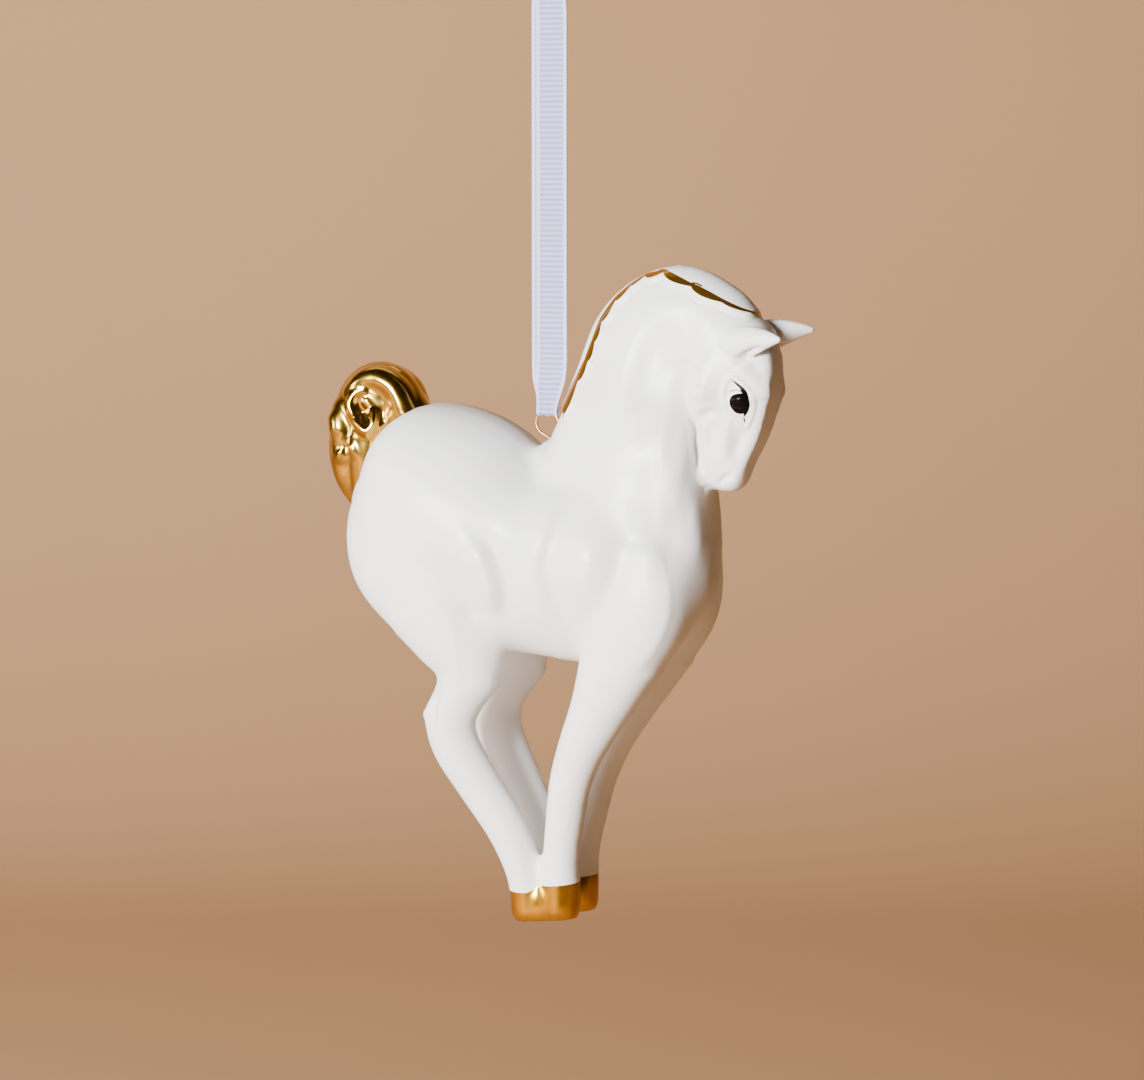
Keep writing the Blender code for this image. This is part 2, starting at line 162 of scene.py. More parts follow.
def apply_modifier(piece: bpy.types.Object, kind: str, **settings) -> None:
    """Adds a modifier to the piece and applies it.

    Args:
        piece: The object.
        kind: Blender's name for the modifier.
        **settings: The modifier's own settings.
    """
    deselect_all()
    bpy.context.view_layer.objects.active = piece
    piece.select_set(True)
    bpy.ops.object.modifier_add(type=kind)
    modifier = piece.modifiers[-1]
    for name, value in settings.items():
        setattr(modifier, name, value)
    bpy.ops.object.modifier_apply(modifier=modifier.name)


def select_points(piece: bpy.types.Object, chosen: np.ndarray) -> None:
    """Opens the piece in edit mode with these vertices selected, and what they span.

    Args:
        piece: The object.
        chosen: True for each vertex to select.
    """
    deselect_all()
    bpy.context.view_layer.objects.active = piece
    piece.select_set(True)
    bpy.ops.object.mode_set(mode="EDIT")
    bpy.ops.mesh.select_mode(type="VERT")
    bpy.ops.mesh.select_all(action="DESELECT")
    bpy.ops.object.mode_set(mode="OBJECT")
    piece.data.vertices.foreach_set("select", chosen)
    bpy.ops.object.mode_set(mode="EDIT")


def refine(piece: bpy.types.Object, chosen: np.ndarray, easing: int) -> None:
    """Halves the mesh's spacing where it is chosen, and eases the new surface.

    Args:
        piece: The object.
        chosen: True for each vertex inside the region.
        easing: Rounds of smoothing after it.
    """
    select_points(piece, chosen)
    bpy.ops.mesh.subdivide(number_cuts=1)
    bpy.ops.mesh.vertices_smooth(factor=0.5, repeat=easing)
    bpy.ops.object.mode_set(mode="OBJECT")


def ease_points(piece: bpy.types.Object, chosen: np.ndarray, rounds: int) -> None:
    """Smooths part of the surface.

    Args:
        piece: The object.
        chosen: True for each vertex that may move.
        rounds: Rounds of smoothing.
    """
    select_points(piece, chosen)
    bpy.ops.mesh.vertices_smooth(factor=0.5, repeat=rounds)
    bpy.ops.object.mode_set(mode="OBJECT")


def join_pieces(pieces: Sequence[bpy.types.Object]) -> bpy.types.Object:
    """Joins the objects into the first of them.

    Args:
        pieces: The objects.

    Returns:
        The first object, which now holds every mesh.
    """
    deselect_all()
    for piece in pieces:
        piece.select_set(True)
    bpy.context.view_layer.objects.active = pieces[0]
    bpy.ops.object.join()
    return pieces[0]


def turn_faces_out(piece: bpy.types.Object) -> None:
    """Makes every face of the closed piece point outwards.

    Args:
        piece: The object.
    """
    select_points(piece, np.ones(len(piece.data.vertices), bool))
    bpy.ops.mesh.normals_make_consistent(inside=False)
    bpy.ops.object.mode_set(mode="OBJECT")


def dress(piece: bpy.types.Object, *finishes: bpy.types.Material) -> None:
    """Gives the piece its finishes in place of any that it has.

    Args:
        piece: The object.
        *finishes: Its materials, in the order of its slots.
    """
    piece.data.materials.clear()
    for finish in finishes:
        piece.data.materials.append(finish)


def shade_round(piece: bpy.types.Object) -> None:
    """Shades the piece as one rounded surface.

    Args:
        piece: The object.
    """
    deselect_all()
    piece.select_set(True)
    bpy.ops.object.shade_smooth()


def smooth_rows(rows: Sequence[Sequence[float]], steps: int, closed: bool = False) -> np.ndarray:
    """More rows between the given ones, on a Catmull-Rom curve through every column.

    Args:
        rows: The rows that the curve passes through.
        steps: How many rows for each one given.
        closed: Whether the last row runs on into the first.

    Returns:
        The finer rows.
    """
    given = np.asarray(rows, float)
    if closed:
        padded = np.vstack([given[-1], given, given[0], given[1]])
    else:
        padded = np.vstack([2 * given[0] - given[1], given, 2 * given[-1] - given[-2]])
    fine = []
    for a, b, c, d in zip(padded, padded[1:], padded[2:], padded[3:]):
        for t in np.arange(steps) / steps:
            fine.append(
                0.5 * (2 * b + (c - a) * t + (2 * a - 5 * b + 4 * c - d) * t**2
                       + (3 * b - 3 * c + d - a) * t**3)
            )
    fine.append(padded[-2])
    return np.array(fine)


def smooth_step(low: float, high: float, value: np.ndarray) -> np.ndarray:
    """0 below low, 1 above high, and an even curve between them."""
    t = np.clip((value - low) / (high - low), 0, 1)
    return t * t * (3 - 2 * t)


@dataclass
class NearLine:
    """Where points lie against a line in the horse's side plane.

    Attributes:
        distance: How far each point is from the line.
        side: 1 on its left, -1 on its right.
        along: How far along the line the nearest place is.
        length: The line's length.
    """

    distance: np.ndarray
    side: np.ndarray
    along: np.ndarray
    length: float

    @classmethod
    def measure(cls, points: np.ndarray, line: np.ndarray) -> "NearLine":
        """Measures points against the line.

        Args:
            points: The x, z places.
            line: The x, z corners of the line.

        Returns:
            The measures.
        """
        best = np.full(len(points), np.inf)
        side = np.zeros(len(points))
        along = np.zeros(len(points))
        walked = 0.0
        for start, end in zip(line, line[1:]):
            step = end - start
            length = float(np.hypot(*step))
            share = np.clip(((points - start) @ step) / length**2, 0, 1)
            gap = points - start - share[:, None] * step
            distance = np.hypot(gap[:, 0], gap[:, 1])
            nearer = distance < best
            best[nearer] = distance[nearer]
            side[nearer] = np.sign(step[0] * gap[nearer, 1] - step[1] * gap[nearer, 0])
            along[nearer] = walked + share[nearer] * length
            walked += length
        return cls(best, side, along, walked)


def work_strokes(
    mesh: bpy.types.Mesh, strokes: Sequence[Stroke], facing_side: tuple[float, float]
) -> None:
    """Works the strokes into both sides of the mesh.

    Args:
        mesh: The mesh, in the tables' millimetres.
        strokes: The strokes.
        facing_side: The sideways share of the normal below which a stroke doesn't reach,
            and the one above which it acts in full.
    """
    places = read_points(mesh)
    normals = read_points(mesh, "normal")
    seen = places[:, (0, 2)]
    facing = smooth_step(*facing_side, np.abs(normals[:, 1]))
    rise = np.zeros(len(places))
    locks = np.zeros(len(places))
    for stroke in strokes:
        line = smooth_rows(stroke.line, LINE_STEPS)
        near = np.all(
            (seen > line.min(0) - stroke.reach) & (seen < line.max(0) + stroke.reach), axis=1
        )
        near &= facing > 0
        if not near.any():
            continue
        spot = NearLine.measure(seen[near], line)
        share = np.clip(spot.distance / stroke.reach, 0, 1)
        gains = STEP_ENDS if stroke.profile is Profile.STEP else SOFT_ENDS
        to_end = np.minimum(spot.along, spot.length - spot.along) / spot.length
        ends = smooth_step(*gains, to_end)
        if stroke.profile is Profile.ROLL:
            round_top = stroke.height * (1 - share**2) * ends
            locks[near] = np.maximum(locks[near], round_top)
        elif stroke.profile is Profile.STEP:
            stands = smooth_step(-stroke.edge, stroke.edge, spot.side * spot.distance)
            fades = 1 - smooth_step(0, 1, share)
            rise[near] += stroke.height * (stands - 0.5) * 2 * fades * ends
        else:
            rise[near] += stroke.height * (1 - smooth_step(0, 1, share)) * ends
    places += normals * ((rise + locks) * facing)[:, None]
    write_points(mesh, places)


def store(mesh: bpy.types.Mesh, name: str, values: np.ndarray) -> None:
    """Keeps one number for each vertex, which a finish reads.

    Args:
        mesh: The mesh.
        name: The attribute's name.
        values: The numbers.
    """
    attribute = mesh.attributes.new(name, "FLOAT", "POINT")
    attribute.data.foreach_set("value", values.astype(np.float32))


def place_on_row(piece: bpy.types.Object) -> None:
    """Takes a mesh from the horse's tables to metres from the hanging point."""
    piece.data.transform(Matrix.Scale(MM, 4) @ Matrix.Translation(FOOTING))
    piece.data.update()


def add_form(
    name: str, rows: Rows, side: Side = Side.FAR, around: int = 32, steps: int = 6
) -> bpy.types.Object:
    """Shapes a sphere into a limb: each of its rings becomes one section of the table.

    Args:
        name: The form's name.
        rows: For each section x, y, z of its centre, half depth, half width, how much
            broader its inner side is, and how square it is.
        side: Which side of the horse it is on. A middle form is the same on either.
        around: Vertices in each ring.
        steps: Rings for each section given.

    Returns:
        The closed form, in the tables' millimetres.
    """
    table = smooth_rows(rows, steps)
    table[:, 1] *= side.value
    centre, sizes = table[:, :3], table[:, 3:]
    tangent = np.gradient(centre, axis=0)
    tangent /= np.linalg.norm(tangent, axis=1)[:, None]
    caps = np.array(CAP_RINGS)
    dome = CAP_LENGTH * np.minimum(sizes[:, 0], sizes[:, 1])
    first = centre[0] - np.outer(np.sin(caps), tangent[0]) * dome[0]
    last = centre[-1] + np.outer(np.sin(caps[::-1]), tangent[-1]) * dome[-1]
    shrink = np.concatenate([np.cos(caps), np.ones(len(table)), np.cos(caps[::-1])])
    centres = np.vstack([first, centre, last])
    repeats = len(caps)
    tangents = np.vstack([[tangent[0]] * repeats, tangent, [tangent[-1]] * repeats])
    section = np.vstack([[sizes[0]] * repeats, sizes, [sizes[-1]] * repeats])
    section[:, :2] *= shrink[:, None]

    rings = len(centres)
    deselect_all()
    bpy.ops.mesh.primitive_uv_sphere_add(segments=around, ring_count=rings + 1, radius=1)
    form = name_new(name)
    ball = read_points(form.data)
    index = np.rint(np.arccos(np.clip(ball[:, 2], -1, 1)) / math.pi * (rings + 1)).astype(int)
    angle = np.arctan2(ball[:, 1], ball[:, 0])
    ring = np.clip(index - 1, 0, rings - 1)
    lateral = np.array([0.0, 1.0, 0.0])
    across = lateral - tangents * (tangents @ lateral)[:, None]
    across /= np.linalg.norm(across, axis=1)[:, None]
    inward = np.cross(across, tangents)
    depth, width, skew, square = (section[ring, k] for k in range(4))
    inner = np.sign(np.cos(angle)) * np.abs(np.cos(angle)) ** (1 - square)
    outer = np.sign(np.sin(angle)) * np.abs(np.sin(angle)) ** (1 - square)
    points = centres[ring] + inward[ring] * (depth * inner)[:, None]
    points += across[ring] * (width * (1 + skew * inner) * outer)[:, None]
    points[index == 0] = centre[0] - tangent[0] * dome[0]
    points[index == rings + 1] = centre[-1] + tangent[-1] * dome[-1]
    write_points(form.data, points)
    turn_faces_out(form)
    return form


def run_together(piece: bpy.types.Object, voxel: float, easing: int) -> None:
    """Fuses what overlaps in the piece, as wet clay is, and eases its creases.

    Args:
        piece: The object.
        voxel: How fine the new surface is.
        easing: Rounds of smoothing.
    """
    apply_modifier(piece, "REMESH", mode="VOXEL", voxel_size=voxel, use_smooth_shade=True)
    apply_modifier(piece, "SMOOTH", factor=0.5, iterations=easing)


# Finishes


class Bench:
    """The node tree of one finish, with short ways to add nodes and join them."""

    def __init__(self, name: str) -> None:
        """Starts a material with its Principled shader."""
        self.material = bpy.data.materials.new(name)
        self.material.use_nodes = True
        self.tree = self.material.node_tree
        self.shader = self.tree.nodes["Principled BSDF"]

    def set(self, **values: float | tuple[float, ...]) -> None:
        """Sets the shader's own sockets; an underscore stands for a space in their names."""
        for name, value in values.items():
            self.shader.inputs[name.replace("_", " ")].default_value = value

    def add(self, kind: str, **settings) -> bpy.types.Node:
        """Adds a node.

        Args:
            kind: The node's type, without its ShaderNode prefix.
            **settings: Its properties.

        Returns:
            The node.
        """
        node = self.tree.nodes.new("ShaderNode" + kind)
        for name, value in settings.items():
            setattr(node, name, value)
        return node

    def feed(self, socket: bpy.types.NodeSocket, source: Source) -> None:
        """Joins a source to a socket, or sets the socket where the source is a value.

        Args:
            socket: The socket of the node that reads it.
            source: Another node's socket, a number or a colour.
        """
        if isinstance(source, bpy.types.NodeSocket):
            self.tree.links.new(source, socket)
        else:
            socket.default_value = source

    def to_shader(self, **sources: bpy.types.NodeSocket) -> None:
        """Joins sources to the shader's sockets, named as in set."""
        for name, source in sources.items():
            self.tree.links.new(source, self.shader.inputs[name.replace("_", " ")])

    def mix(self, share: Source, a: Source, b: Source,
            colour: bool = True) -> bpy.types.NodeSocket:
        """A mix of two colours, or of two numbers.

        Args:
            share: How much of b there is.
            a: The first colour or number, or its socket.
            b: The second.
            colour: Whether they are colours.

        Returns:
            The mixed socket.
        """
        node = self.add("Mix", data_type="RGBA" if colour else "FLOAT")
        first, second = (6, 7) if colour else (2, 3)
        self.feed(node.inputs[0], share)
        self.feed(node.inputs[first], a)
        self.feed(node.inputs[second], b)
        return node.outputs[2 if colour else 0]

    def spread(self, source: Source, low: float, high: float, start: float = 0,
               end: float = 1) -> bpy.types.NodeSocket:
        """A number taken from one range to another and kept within it.

        Args:
            source: The number.
            low: What becomes start.
            high: What becomes end.
            start: One limit of the result.
            end: The other.

        Returns:
            The result's socket.
        """
        node = self.add("MapRange", clamp=True)
        for socket, value in zip(node.inputs, (source, low, high, start, end)):
            self.feed(socket, value)
        return node.outputs[0]

    def reckon(self, a: Source, b: Source = 0.0, operation: str = "ADD") -> bpy.types.NodeSocket:
        """Works out a number.

        Args:
            a: The first number.
            b: The second, where the operation takes one.
            operation: Blender's name for it.

        Returns:
            The result's socket.
        """
        node = self.add("Math", operation=operation)
        self.feed(node.inputs[0], a)
        self.feed(node.inputs[1], b)
        return node.outputs[0]

    def noise(self, scale: float, detail: float = 3,
              stretch: tuple[float, ...] = (1, 1, 1)) -> bpy.types.NodeSocket:
        """Noise in the piece's own space.

        Args:
            scale: How many features there are in a metre.
            detail: How many finer layers it has.
            stretch: How much closer the features lie along x, y and z.

        Returns:
            The noise, from 0 to 1.
        """
        place = self.add("TexCoord").outputs["Object"]
        mapping = self.add("Mapping")
        self.feed(mapping.inputs["Vector"], place)
        mapping.inputs["Scale"].default_value = stretch
        node = self.add("TexNoise")
        self.feed(node.inputs["Vector"], mapping.outputs[0])
        node.inputs["Scale"].default_value = scale
        node.inputs["Detail"].default_value = detail
        return node.outputs["Fac"]

    def painted(self, name: str, softness: float) -> bpy.types.NodeSocket:
        """1 where the paint of this name lies, from the distances kept on the mesh."""
        kept = self.add("Attribute", attribute_name=name)
        return self.spread(kept.outputs["Fac"], -softness, softness)

    def bump(self, height: Source, distance: float, strength: float,
             base: bpy.types.NodeSocket | None = None) -> bpy.types.NodeSocket:
        """A bumped normal.

        Args:
            height: The relief, from 0 to 1.
            distance: How high it is at 1, in metres.
            strength: How much of it shows.
            base: A bumped normal that this one goes on top of.

        Returns:
            The normal's socket.
        """
        node = self.add("Bump")
        node.inputs["Strength"].default_value = strength
        node.inputs["Distance"].default_value = distance
        self.feed(node.inputs["Height"], height)
        if base is not None:
            self.feed(node.inputs["Normal"], base)
        return node.outputs[0]


@dataclass(frozen=True)
class GlazedPorcelain:
    """Satin white porcelain with bright gold and black painted under its last firing."""

    white: tuple[float, ...] = (0.86, 0.862, 0.858, 1)
    pooled: tuple[float, ...] = (0.80, 0.80, 0.785, 1)
    gold: tuple[float, ...] = (0.60, 0.30, 0.012, 1)
    gold_deep: tuple[float, ...] = (0.40, 0.185, 0.008, 1)
    black: tuple[float, ...] = (0.004, 0.0025, 0.002, 1)
    glaze_roughness: float = 0.40
    gold_roughness: float = 0.2
    gold_mirror: float = 0.94
    black_roughness: float = 0.22

    def make(self) -> bpy.types.Material:
        """Builds the material.

        Returns:
            The material.
        """
        bench = Bench("glazed_porcelain")
        bench.set(Coat_Roughness=0.2, Subsurface_Weight=0.06, Subsurface_Scale=0.002)
        gold = bench.painted("gold", 0.03)
        black = bench.painted("ink", 0.02)
        cloud = bench.noise(60, 4)
        glaze = bench.mix(bench.spread(cloud, 0.45, 0.75), self.white, self.pooled)
        brushed = bench.noise(900, 3, (1, 1, 0.25))
        leaf = bench.mix(bench.spread(brushed, 0.35, 0.7, 0.0, 0.55), self.gold, self.gold_deep)
        colour = bench.mix(black, bench.mix(gold, glaze, leaf), self.black)
        waves = bench.noise(260, 2)
        rough = bench.spread(waves, 0.3, 0.7, self.glaze_roughness - 0.04,
                             self.glaze_roughness + 0.05)
        gold_rough = bench.spread(brushed, 0.3, 0.7, self.gold_roughness - 0.05,
                                  self.gold_roughness + 0.05)
        rough = bench.mix(gold, rough, gold_rough, colour=False)
        rough = bench.mix(black, rough, self.black_roughness, colour=False)
        ripple = bench.bump(waves, 0.00006, 0.25)
        bench.to_shader(Base_Color=colour, Roughness=rough,
                        Metallic=bench.mix(gold, 0.0, self.gold_mirror, colour=False),
                        Specular_IOR_Level=bench.mix(black, 0.45, 0.05, colour=False),
                        Coat_Weight=bench.mix(black, 0.06, 0.0, colour=False),
                        Normal=bench.bump(brushed, 0.00002, 0.12, ripple))
        return bench.material


@dataclass(frozen=True)
class BareBiscuit:
    """Unglazed porcelain, as on the ground soles."""

    colour: tuple[float, ...] = (0.78, 0.76, 0.72, 1)

    def make(self) -> bpy.types.Material:
        """Builds the material.

        Returns:
            The material.
        """
        bench = Bench("bare_biscuit")
        bench.set(Roughness=0.85)
        grain = bench.noise(2500, 4)
        darker = tuple(0.85 * part for part in self.colour[:3]) + (1,)
        bench.to_shader(Base_Color=bench.mix(grain, self.colour, darker),
                        Normal=bench.bump(grain, 0.00005, 0.5))
        return bench.material


@dataclass(frozen=True)
class BrightGold:
    """Fired liquid gold over a moulded glaze, as on the tail."""

    bright: tuple[float, ...] = (0.64, 0.40, 0.065, 1)
    deep: tuple[float, ...] = (0.46, 0.27, 0.035, 1)
    roughness: float = 0.15

    def make(self) -> bpy.types.Material:
        """Builds the material.

        Returns:
            The material.
        """
        bench = Bench("bright_gold")
        bench.set(Metallic=1.0)
        brushed = bench.noise(500, 4)
        fine = bench.noise(2600, 2)
        bench.to_shader(
            Base_Color=bench.mix(bench.spread(brushed, 0.4, 0.75), self.bright, self.deep),
            Roughness=bench.spread(brushed, 0.3, 0.7, self.roughness, self.roughness + 0.08),
            Normal=bench.bump(fine, 0.00001, 0.1, bench.bump(brushed, 0.00003, 0.15)),
        )
        return bench.material


@dataclass(frozen=True)
class CopperWire:
    """Bright drawn copper wire, a little dulled."""

    bright: tuple[float, ...] = (0.62, 0.30, 0.14, 1)
    dull: tuple[float, ...] = (0.42, 0.20, 0.10, 1)

    def make(self) -> bpy.types.Material:
        """Builds the material.

        Returns:
            The material.
        """
        bench = Bench("copper_wire")
        bench.set(Metallic=1.0)
        tarnish = bench.noise(1400, 3)
        bench.to_shader(
            Base_Color=bench.mix(bench.spread(tarnish, 0.45, 0.7), self.bright, self.dull),
            Roughness=bench.spread(tarnish, 0.3, 0.7, 0.2, 0.42),
            Normal=bench.bump(tarnish, 0.00002, 0.3),
        )
        return bench.material


@dataclass(frozen=True)
class GrosgrainWeave:
    """Ribbed ribbon of pale lavender polyester, with smooth selvedges and painted shade in the
    valleys between its ribs.
    """

    thread: tuple[float, ...] = (0.43, 0.44, 0.71, 1)
    valley_shade_and_fuzz: tuple[float, ...] = (0.24, 0.24, 0.44, 1)
    # painted shade: the darker colour of the valleys between the ribs, which the fuzz also
    # darkens towards at random
    selvedge: tuple[float, ...] = (0.49, 0.50, 0.75, 1)
    threads_across: float = 44.0

    def make(self) -> bpy.types.Material:
        """Builds the material. It reads the ribbon's "rib" and "across" numbers.

        Returns:
            The material.
        """
        bench = Bench("grosgrain")
        bench.set(Roughness=0.62, Sheen_Weight=0.35, Sheen_Roughness=0.4)
        rib = bench.add("Attribute", attribute_name="rib").outputs["Fac"]
        across = bench.add("Attribute", attribute_name="across").outputs["Fac"]
        edge = bench.spread(bench.reckon(across, operation="ABSOLUTE"), 0.76, 0.82)
        fuzz = bench.noise(5200, 3)
        # the ribs run from the thread colour on their crests to painted shade in their valleys
        body = bench.mix(rib, self.valley_shade_and_fuzz, self.thread)
        body = bench.mix(bench.spread(fuzz, 0.3, 0.7, 0, 0.3), body, self.valley_shade_and_fuzz)
        turns = bench.reckon(across, self.threads_across * math.pi, "MULTIPLY")
        warp = bench.reckon(turns, operation="SINE")
        height = bench.reckon(bench.reckon(warp, 0.5, "MULTIPLY"), fuzz)
        bench.to_shader(Base_Color=bench.mix(edge, body, self.selvedge),
                        Normal=bench.bump(height, 0.00004, 0.35))
        return bench.material


@dataclass(frozen=True)
class StudioPaper:
    """Plain pale paper of the floor and the sweep behind it."""

    colour: tuple[float, ...] = (0.54, 0.31, 0.15, 1)

    def make(self) -> bpy.types.Material:
        """Builds the material.

        Returns:
            The material.
        """
        bench = Bench("studio_paper")
        bench.set(Roughness=0.9)
        tooth = bench.noise(8, 3)
        shade = tuple(0.97 * part for part in self.colour[:3]) + (1,)
        bench.to_shader(Base_Color=bench.mix(tooth, self.colour, shade))
        return bench.material


# The porcelain horse


@dataclass
class PaintedMane:
    """The raised mane and the gold leaf-shaped strokes along its lower edge.

    Attributes:
        joints: x, z of the places where two locks of the mane meet, withers to poll.
        half: Half the gold's width at each joint.
        drop: How much further each lock hangs below the line between its two joints.
        leaf: How much further the gold reaches above that line.
        fullest: How far along a lock it hangs lowest, as a share of its length.
        rise: How proud the mane stands.
        lip: Over how much of the surface its edge rises.
        margin: How far beyond the gold that edge lies.
        reach: How far the mane reaches from its edge, over the crest.
        spurs: Thin brush ends that run on above the next lock, each as a line.
        spur_half: Half their width.
        spur_steps: How finely their lines are drawn.
        fade_start: Over what length the mane rises out of the withers.
        fade_end: The same at the poll.
        edge_steps: Points drawn along each lock's edge.
    """

    joints: Rows = (
        (3.9, 92.3), (7.3, 98.5), (9.1, 102.0), (10.3, 105.5), (11.3, 109.0), (13.7, 112.7),
        (16.5, 115.2), (19.0, 116.9), (22.7, 117.6), (28.7, 115.4), (34.4, 112.7), (39.8, 110.2),
    )
    half: tuple[float, ...] = (
        1.05, 0.56, 0.52, 0.48, 0.44, 0.38, 0.26, 0.24, 0.22, 0.26, 0.26, 0.02,
    )
    drop: tuple[float, ...] = (0.8, 0.5, 0.46, 0.42, 0.4, 0.36, 0.2, 0.45, 0.5, 0.5, 0.2)
    leaf: tuple[float, ...] = (0.15, 0.08, 0.08, 0.06, 0.04, 0.04, 0.0, 0.0, 0.15, 0.12, 0.0)
    fullest: float = 0.38
    rise: float = 0.7
    lip: float = 0.42
    margin: float = 0.45
    reach: float = 9.0
    spurs: tuple[Rows, ...] = (
        ((23.4, 117.6), (22.4, 117.75), (21.6, 117.7)),
        ((30.4, 115.2), (29.5, 115.6), (28.7, 115.8)),
    )
    spur_half: float = 0.1
    spur_steps: int = 4
    fade_start: float = 1.2
    fade_end: float = 1.5
    edge_steps: int = 12

    def edge(self, swells: Sequence[float], way: int) -> np.ndarray:
        """One edge of the gold, offset from the line of joints.

        Args:
            swells: The further offset of each lock where it is fullest.
            way: 1 for the edge towards the neck, -1 for the upper edge.

        Returns:
            The x, z points of the edge.
        """
        points = []
        joints = np.array(self.joints)
        bend = math.log(0.5) / math.log(self.fullest)
        spans = zip(joints, joints[1:], self.half, self.half[1:], swells)
        for start, end, half_start, half_end, swell in spans:
            step = end - start
            outward = way * np.array([step[1], -step[0]]) / np.hypot(*step)
            for t in np.linspace(0, 1, self.edge_steps, endpoint=False):
                bulge = swell * math.sin(math.pi * t**bend)
                offset = half_start + (half_end - half_start) * t + bulge
                points.append(start + t * step + outward * offset)
        points.append(joints[-1])
        return np.array(points)

    def below(self, seen: np.ndarray) -> NearLine:
        """Where points lie against the mane's own lower edge."""
        return NearLine.measure(seen, self.edge(self.drop, 1))

    def heights(self, seen: np.ndarray) -> np.ndarray:
        """How proud the mane stands.

        Args:
            seen: The x, z places.

        Returns:
            A height for each.
        """
        spot = self.below(seen)
        inside = smooth_step(-self.lip, self.lip, spot.side * spot.distance + self.margin)
        ends = smooth_step(0, self.fade_start, spot.along)
        ends = ends * smooth_step(0, self.fade_end, spot.length - spot.along)
        return self.rise * inside * ends * (spot.distance < self.reach)

    def gold(self, seen: np.ndarray) -> np.ndarray:
        """How far inside the gold the places lie.

        Args:
            seen: The x, z places.

        Returns:
            A distance for each, below zero outside the gold.
        """
        low = self.below(seen)
        upper = NearLine.measure(seen, self.edge(self.leaf, -1))
        inside = np.minimum(low.side * low.distance, -upper.side * upper.distance)
        ends = np.minimum(low.along, low.length - low.along)
        inside = np.where(ends <= 1e-6, -low.distance, inside)
        for spur in self.spurs:
            line = smooth_rows(spur, self.spur_steps)
            from_spur = NearLine.measure(seen, line).distance
            inside = np.maximum(inside, self.spur_half - from_spur)
        return inside


@dataclass
class PaintedEye:
    """The moulded eye of one side and the black painted on it.

    Attributes:
        iris: x, z of its middle.
        iris_size: Half its width and half its height.
        lids: The pointed line of the lids, all round.
        lash: x, z and half thickness along the brush stroke over the iris.
        fold: The same along the thin line of the upper lid.
        drops: x, z and radius of the small dots round the inner corner.
        tear: The short stroke below it, as the lash is given.
        ball: How far the eyeball stands out.
        ball_size: Half its width and half its height.
        lid_height: How far the lids stand out.
        lid_width: How broad they are.
        lid_steps: How finely their line is drawn.
    """

    iris: tuple[float, float] = (38.35, 95.35)
    iris_size: tuple[float, float] = (1.7, 1.8)
    lids: Rows = (
        (36.9, 99.8), (39.2, 98.6), (40.7, 96.3), (40.3, 93.6), (38.8, 91), (36.9, 92.7),
        (35.6, 95), (35.7, 97.8),
    )
    lash: Rows = (
        (36.9, 99.6, 0.08), (37.6, 99.05, 0.16), (38.2, 98.55, 0.24), (38.8, 98.05, 0.31),
        (39.2, 97.5, 0.38), (39.5, 96.8, 0.44), (39.65, 96, 0.44), (39.65, 95.2, 0.4),
        (39.5, 94.4, 0.33), (39.2, 93.7, 0.24), (38.85, 93.1, 0.1),
    )
    fold: Rows = (
        (36.5, 97.1, 0.05), (36.9, 97.5, 0.09), (37.45, 97.65, 0.1), (38.05, 97.65, 0.1),
        (38.6, 97.5, 0.1), (39.0, 97.3, 0.1),
    )
    tear: Rows = ((38.8, 92.75, 0.11), (38.82, 92.3, 0.15), (38.84, 91.95, 0.09))
    drops: Rows = (
        (37.95, 92.85, 0.1), (38.35, 92.7, 0.1), (35.6, 100.5, 0.08), (36.6, 100.6, 0.07),
    )
    ball: float = 0.5
    ball_size: tuple[float, float] = (2.3, 3.0)
    lid_height: float = 0.28
    lid_width: float = 0.42
    lid_steps: int = 6

    @staticmethod
    def brushed(seen: np.ndarray, stroke: Rows) -> np.ndarray:
        """How far inside a brush stroke of changing width the places lie.

        Args:
            seen: The x, z places.
            stroke: x, z and half the width along the stroke.

        Returns:
            A distance for each, below zero outside the stroke.
        """
        inside = np.full(len(seen), OUTSIDE)
        for x, z, half in smooth_rows(stroke, LINE_STEPS):
            inside = np.maximum(inside, half - np.hypot(seen[:, 0] - x, seen[:, 1] - z))
        return inside

    def ink(self, seen: np.ndarray) -> np.ndarray:
        """How far inside the black the places lie.

        Args:
            seen: The x, z places.

        Returns:
            A distance for each, below zero outside the black.
        """
        away = (seen - self.iris) / self.iris_size
        inside = (1 - np.hypot(away[:, 0], away[:, 1])) * self.iris_size[0]
        for stroke in (self.lash, self.fold, self.tear):
            inside = np.maximum(inside, self.brushed(seen, stroke))
        for x, z, radius in self.drops:
            inside = np.maximum(inside, radius - np.hypot(seen[:, 0] - x, seen[:, 1] - z))
        return inside

    def heights(self, seen: np.ndarray) -> np.ndarray:
        """How far the ball and the lids stand out.

        Args:
            seen: The x, z places.

        Returns:
            A height for each.
        """
        rim = NearLine.measure(seen, smooth_rows(self.lids, self.lid_steps, closed=True))
        lid = self.lid_height * np.exp(-((rim.distance / self.lid_width) ** 2))
        away = (seen - self.iris) / self.ball_size
        inside = np.clip(1 - (away**2).sum(axis=1), 0, 1)
        return lid + self.ball * inside


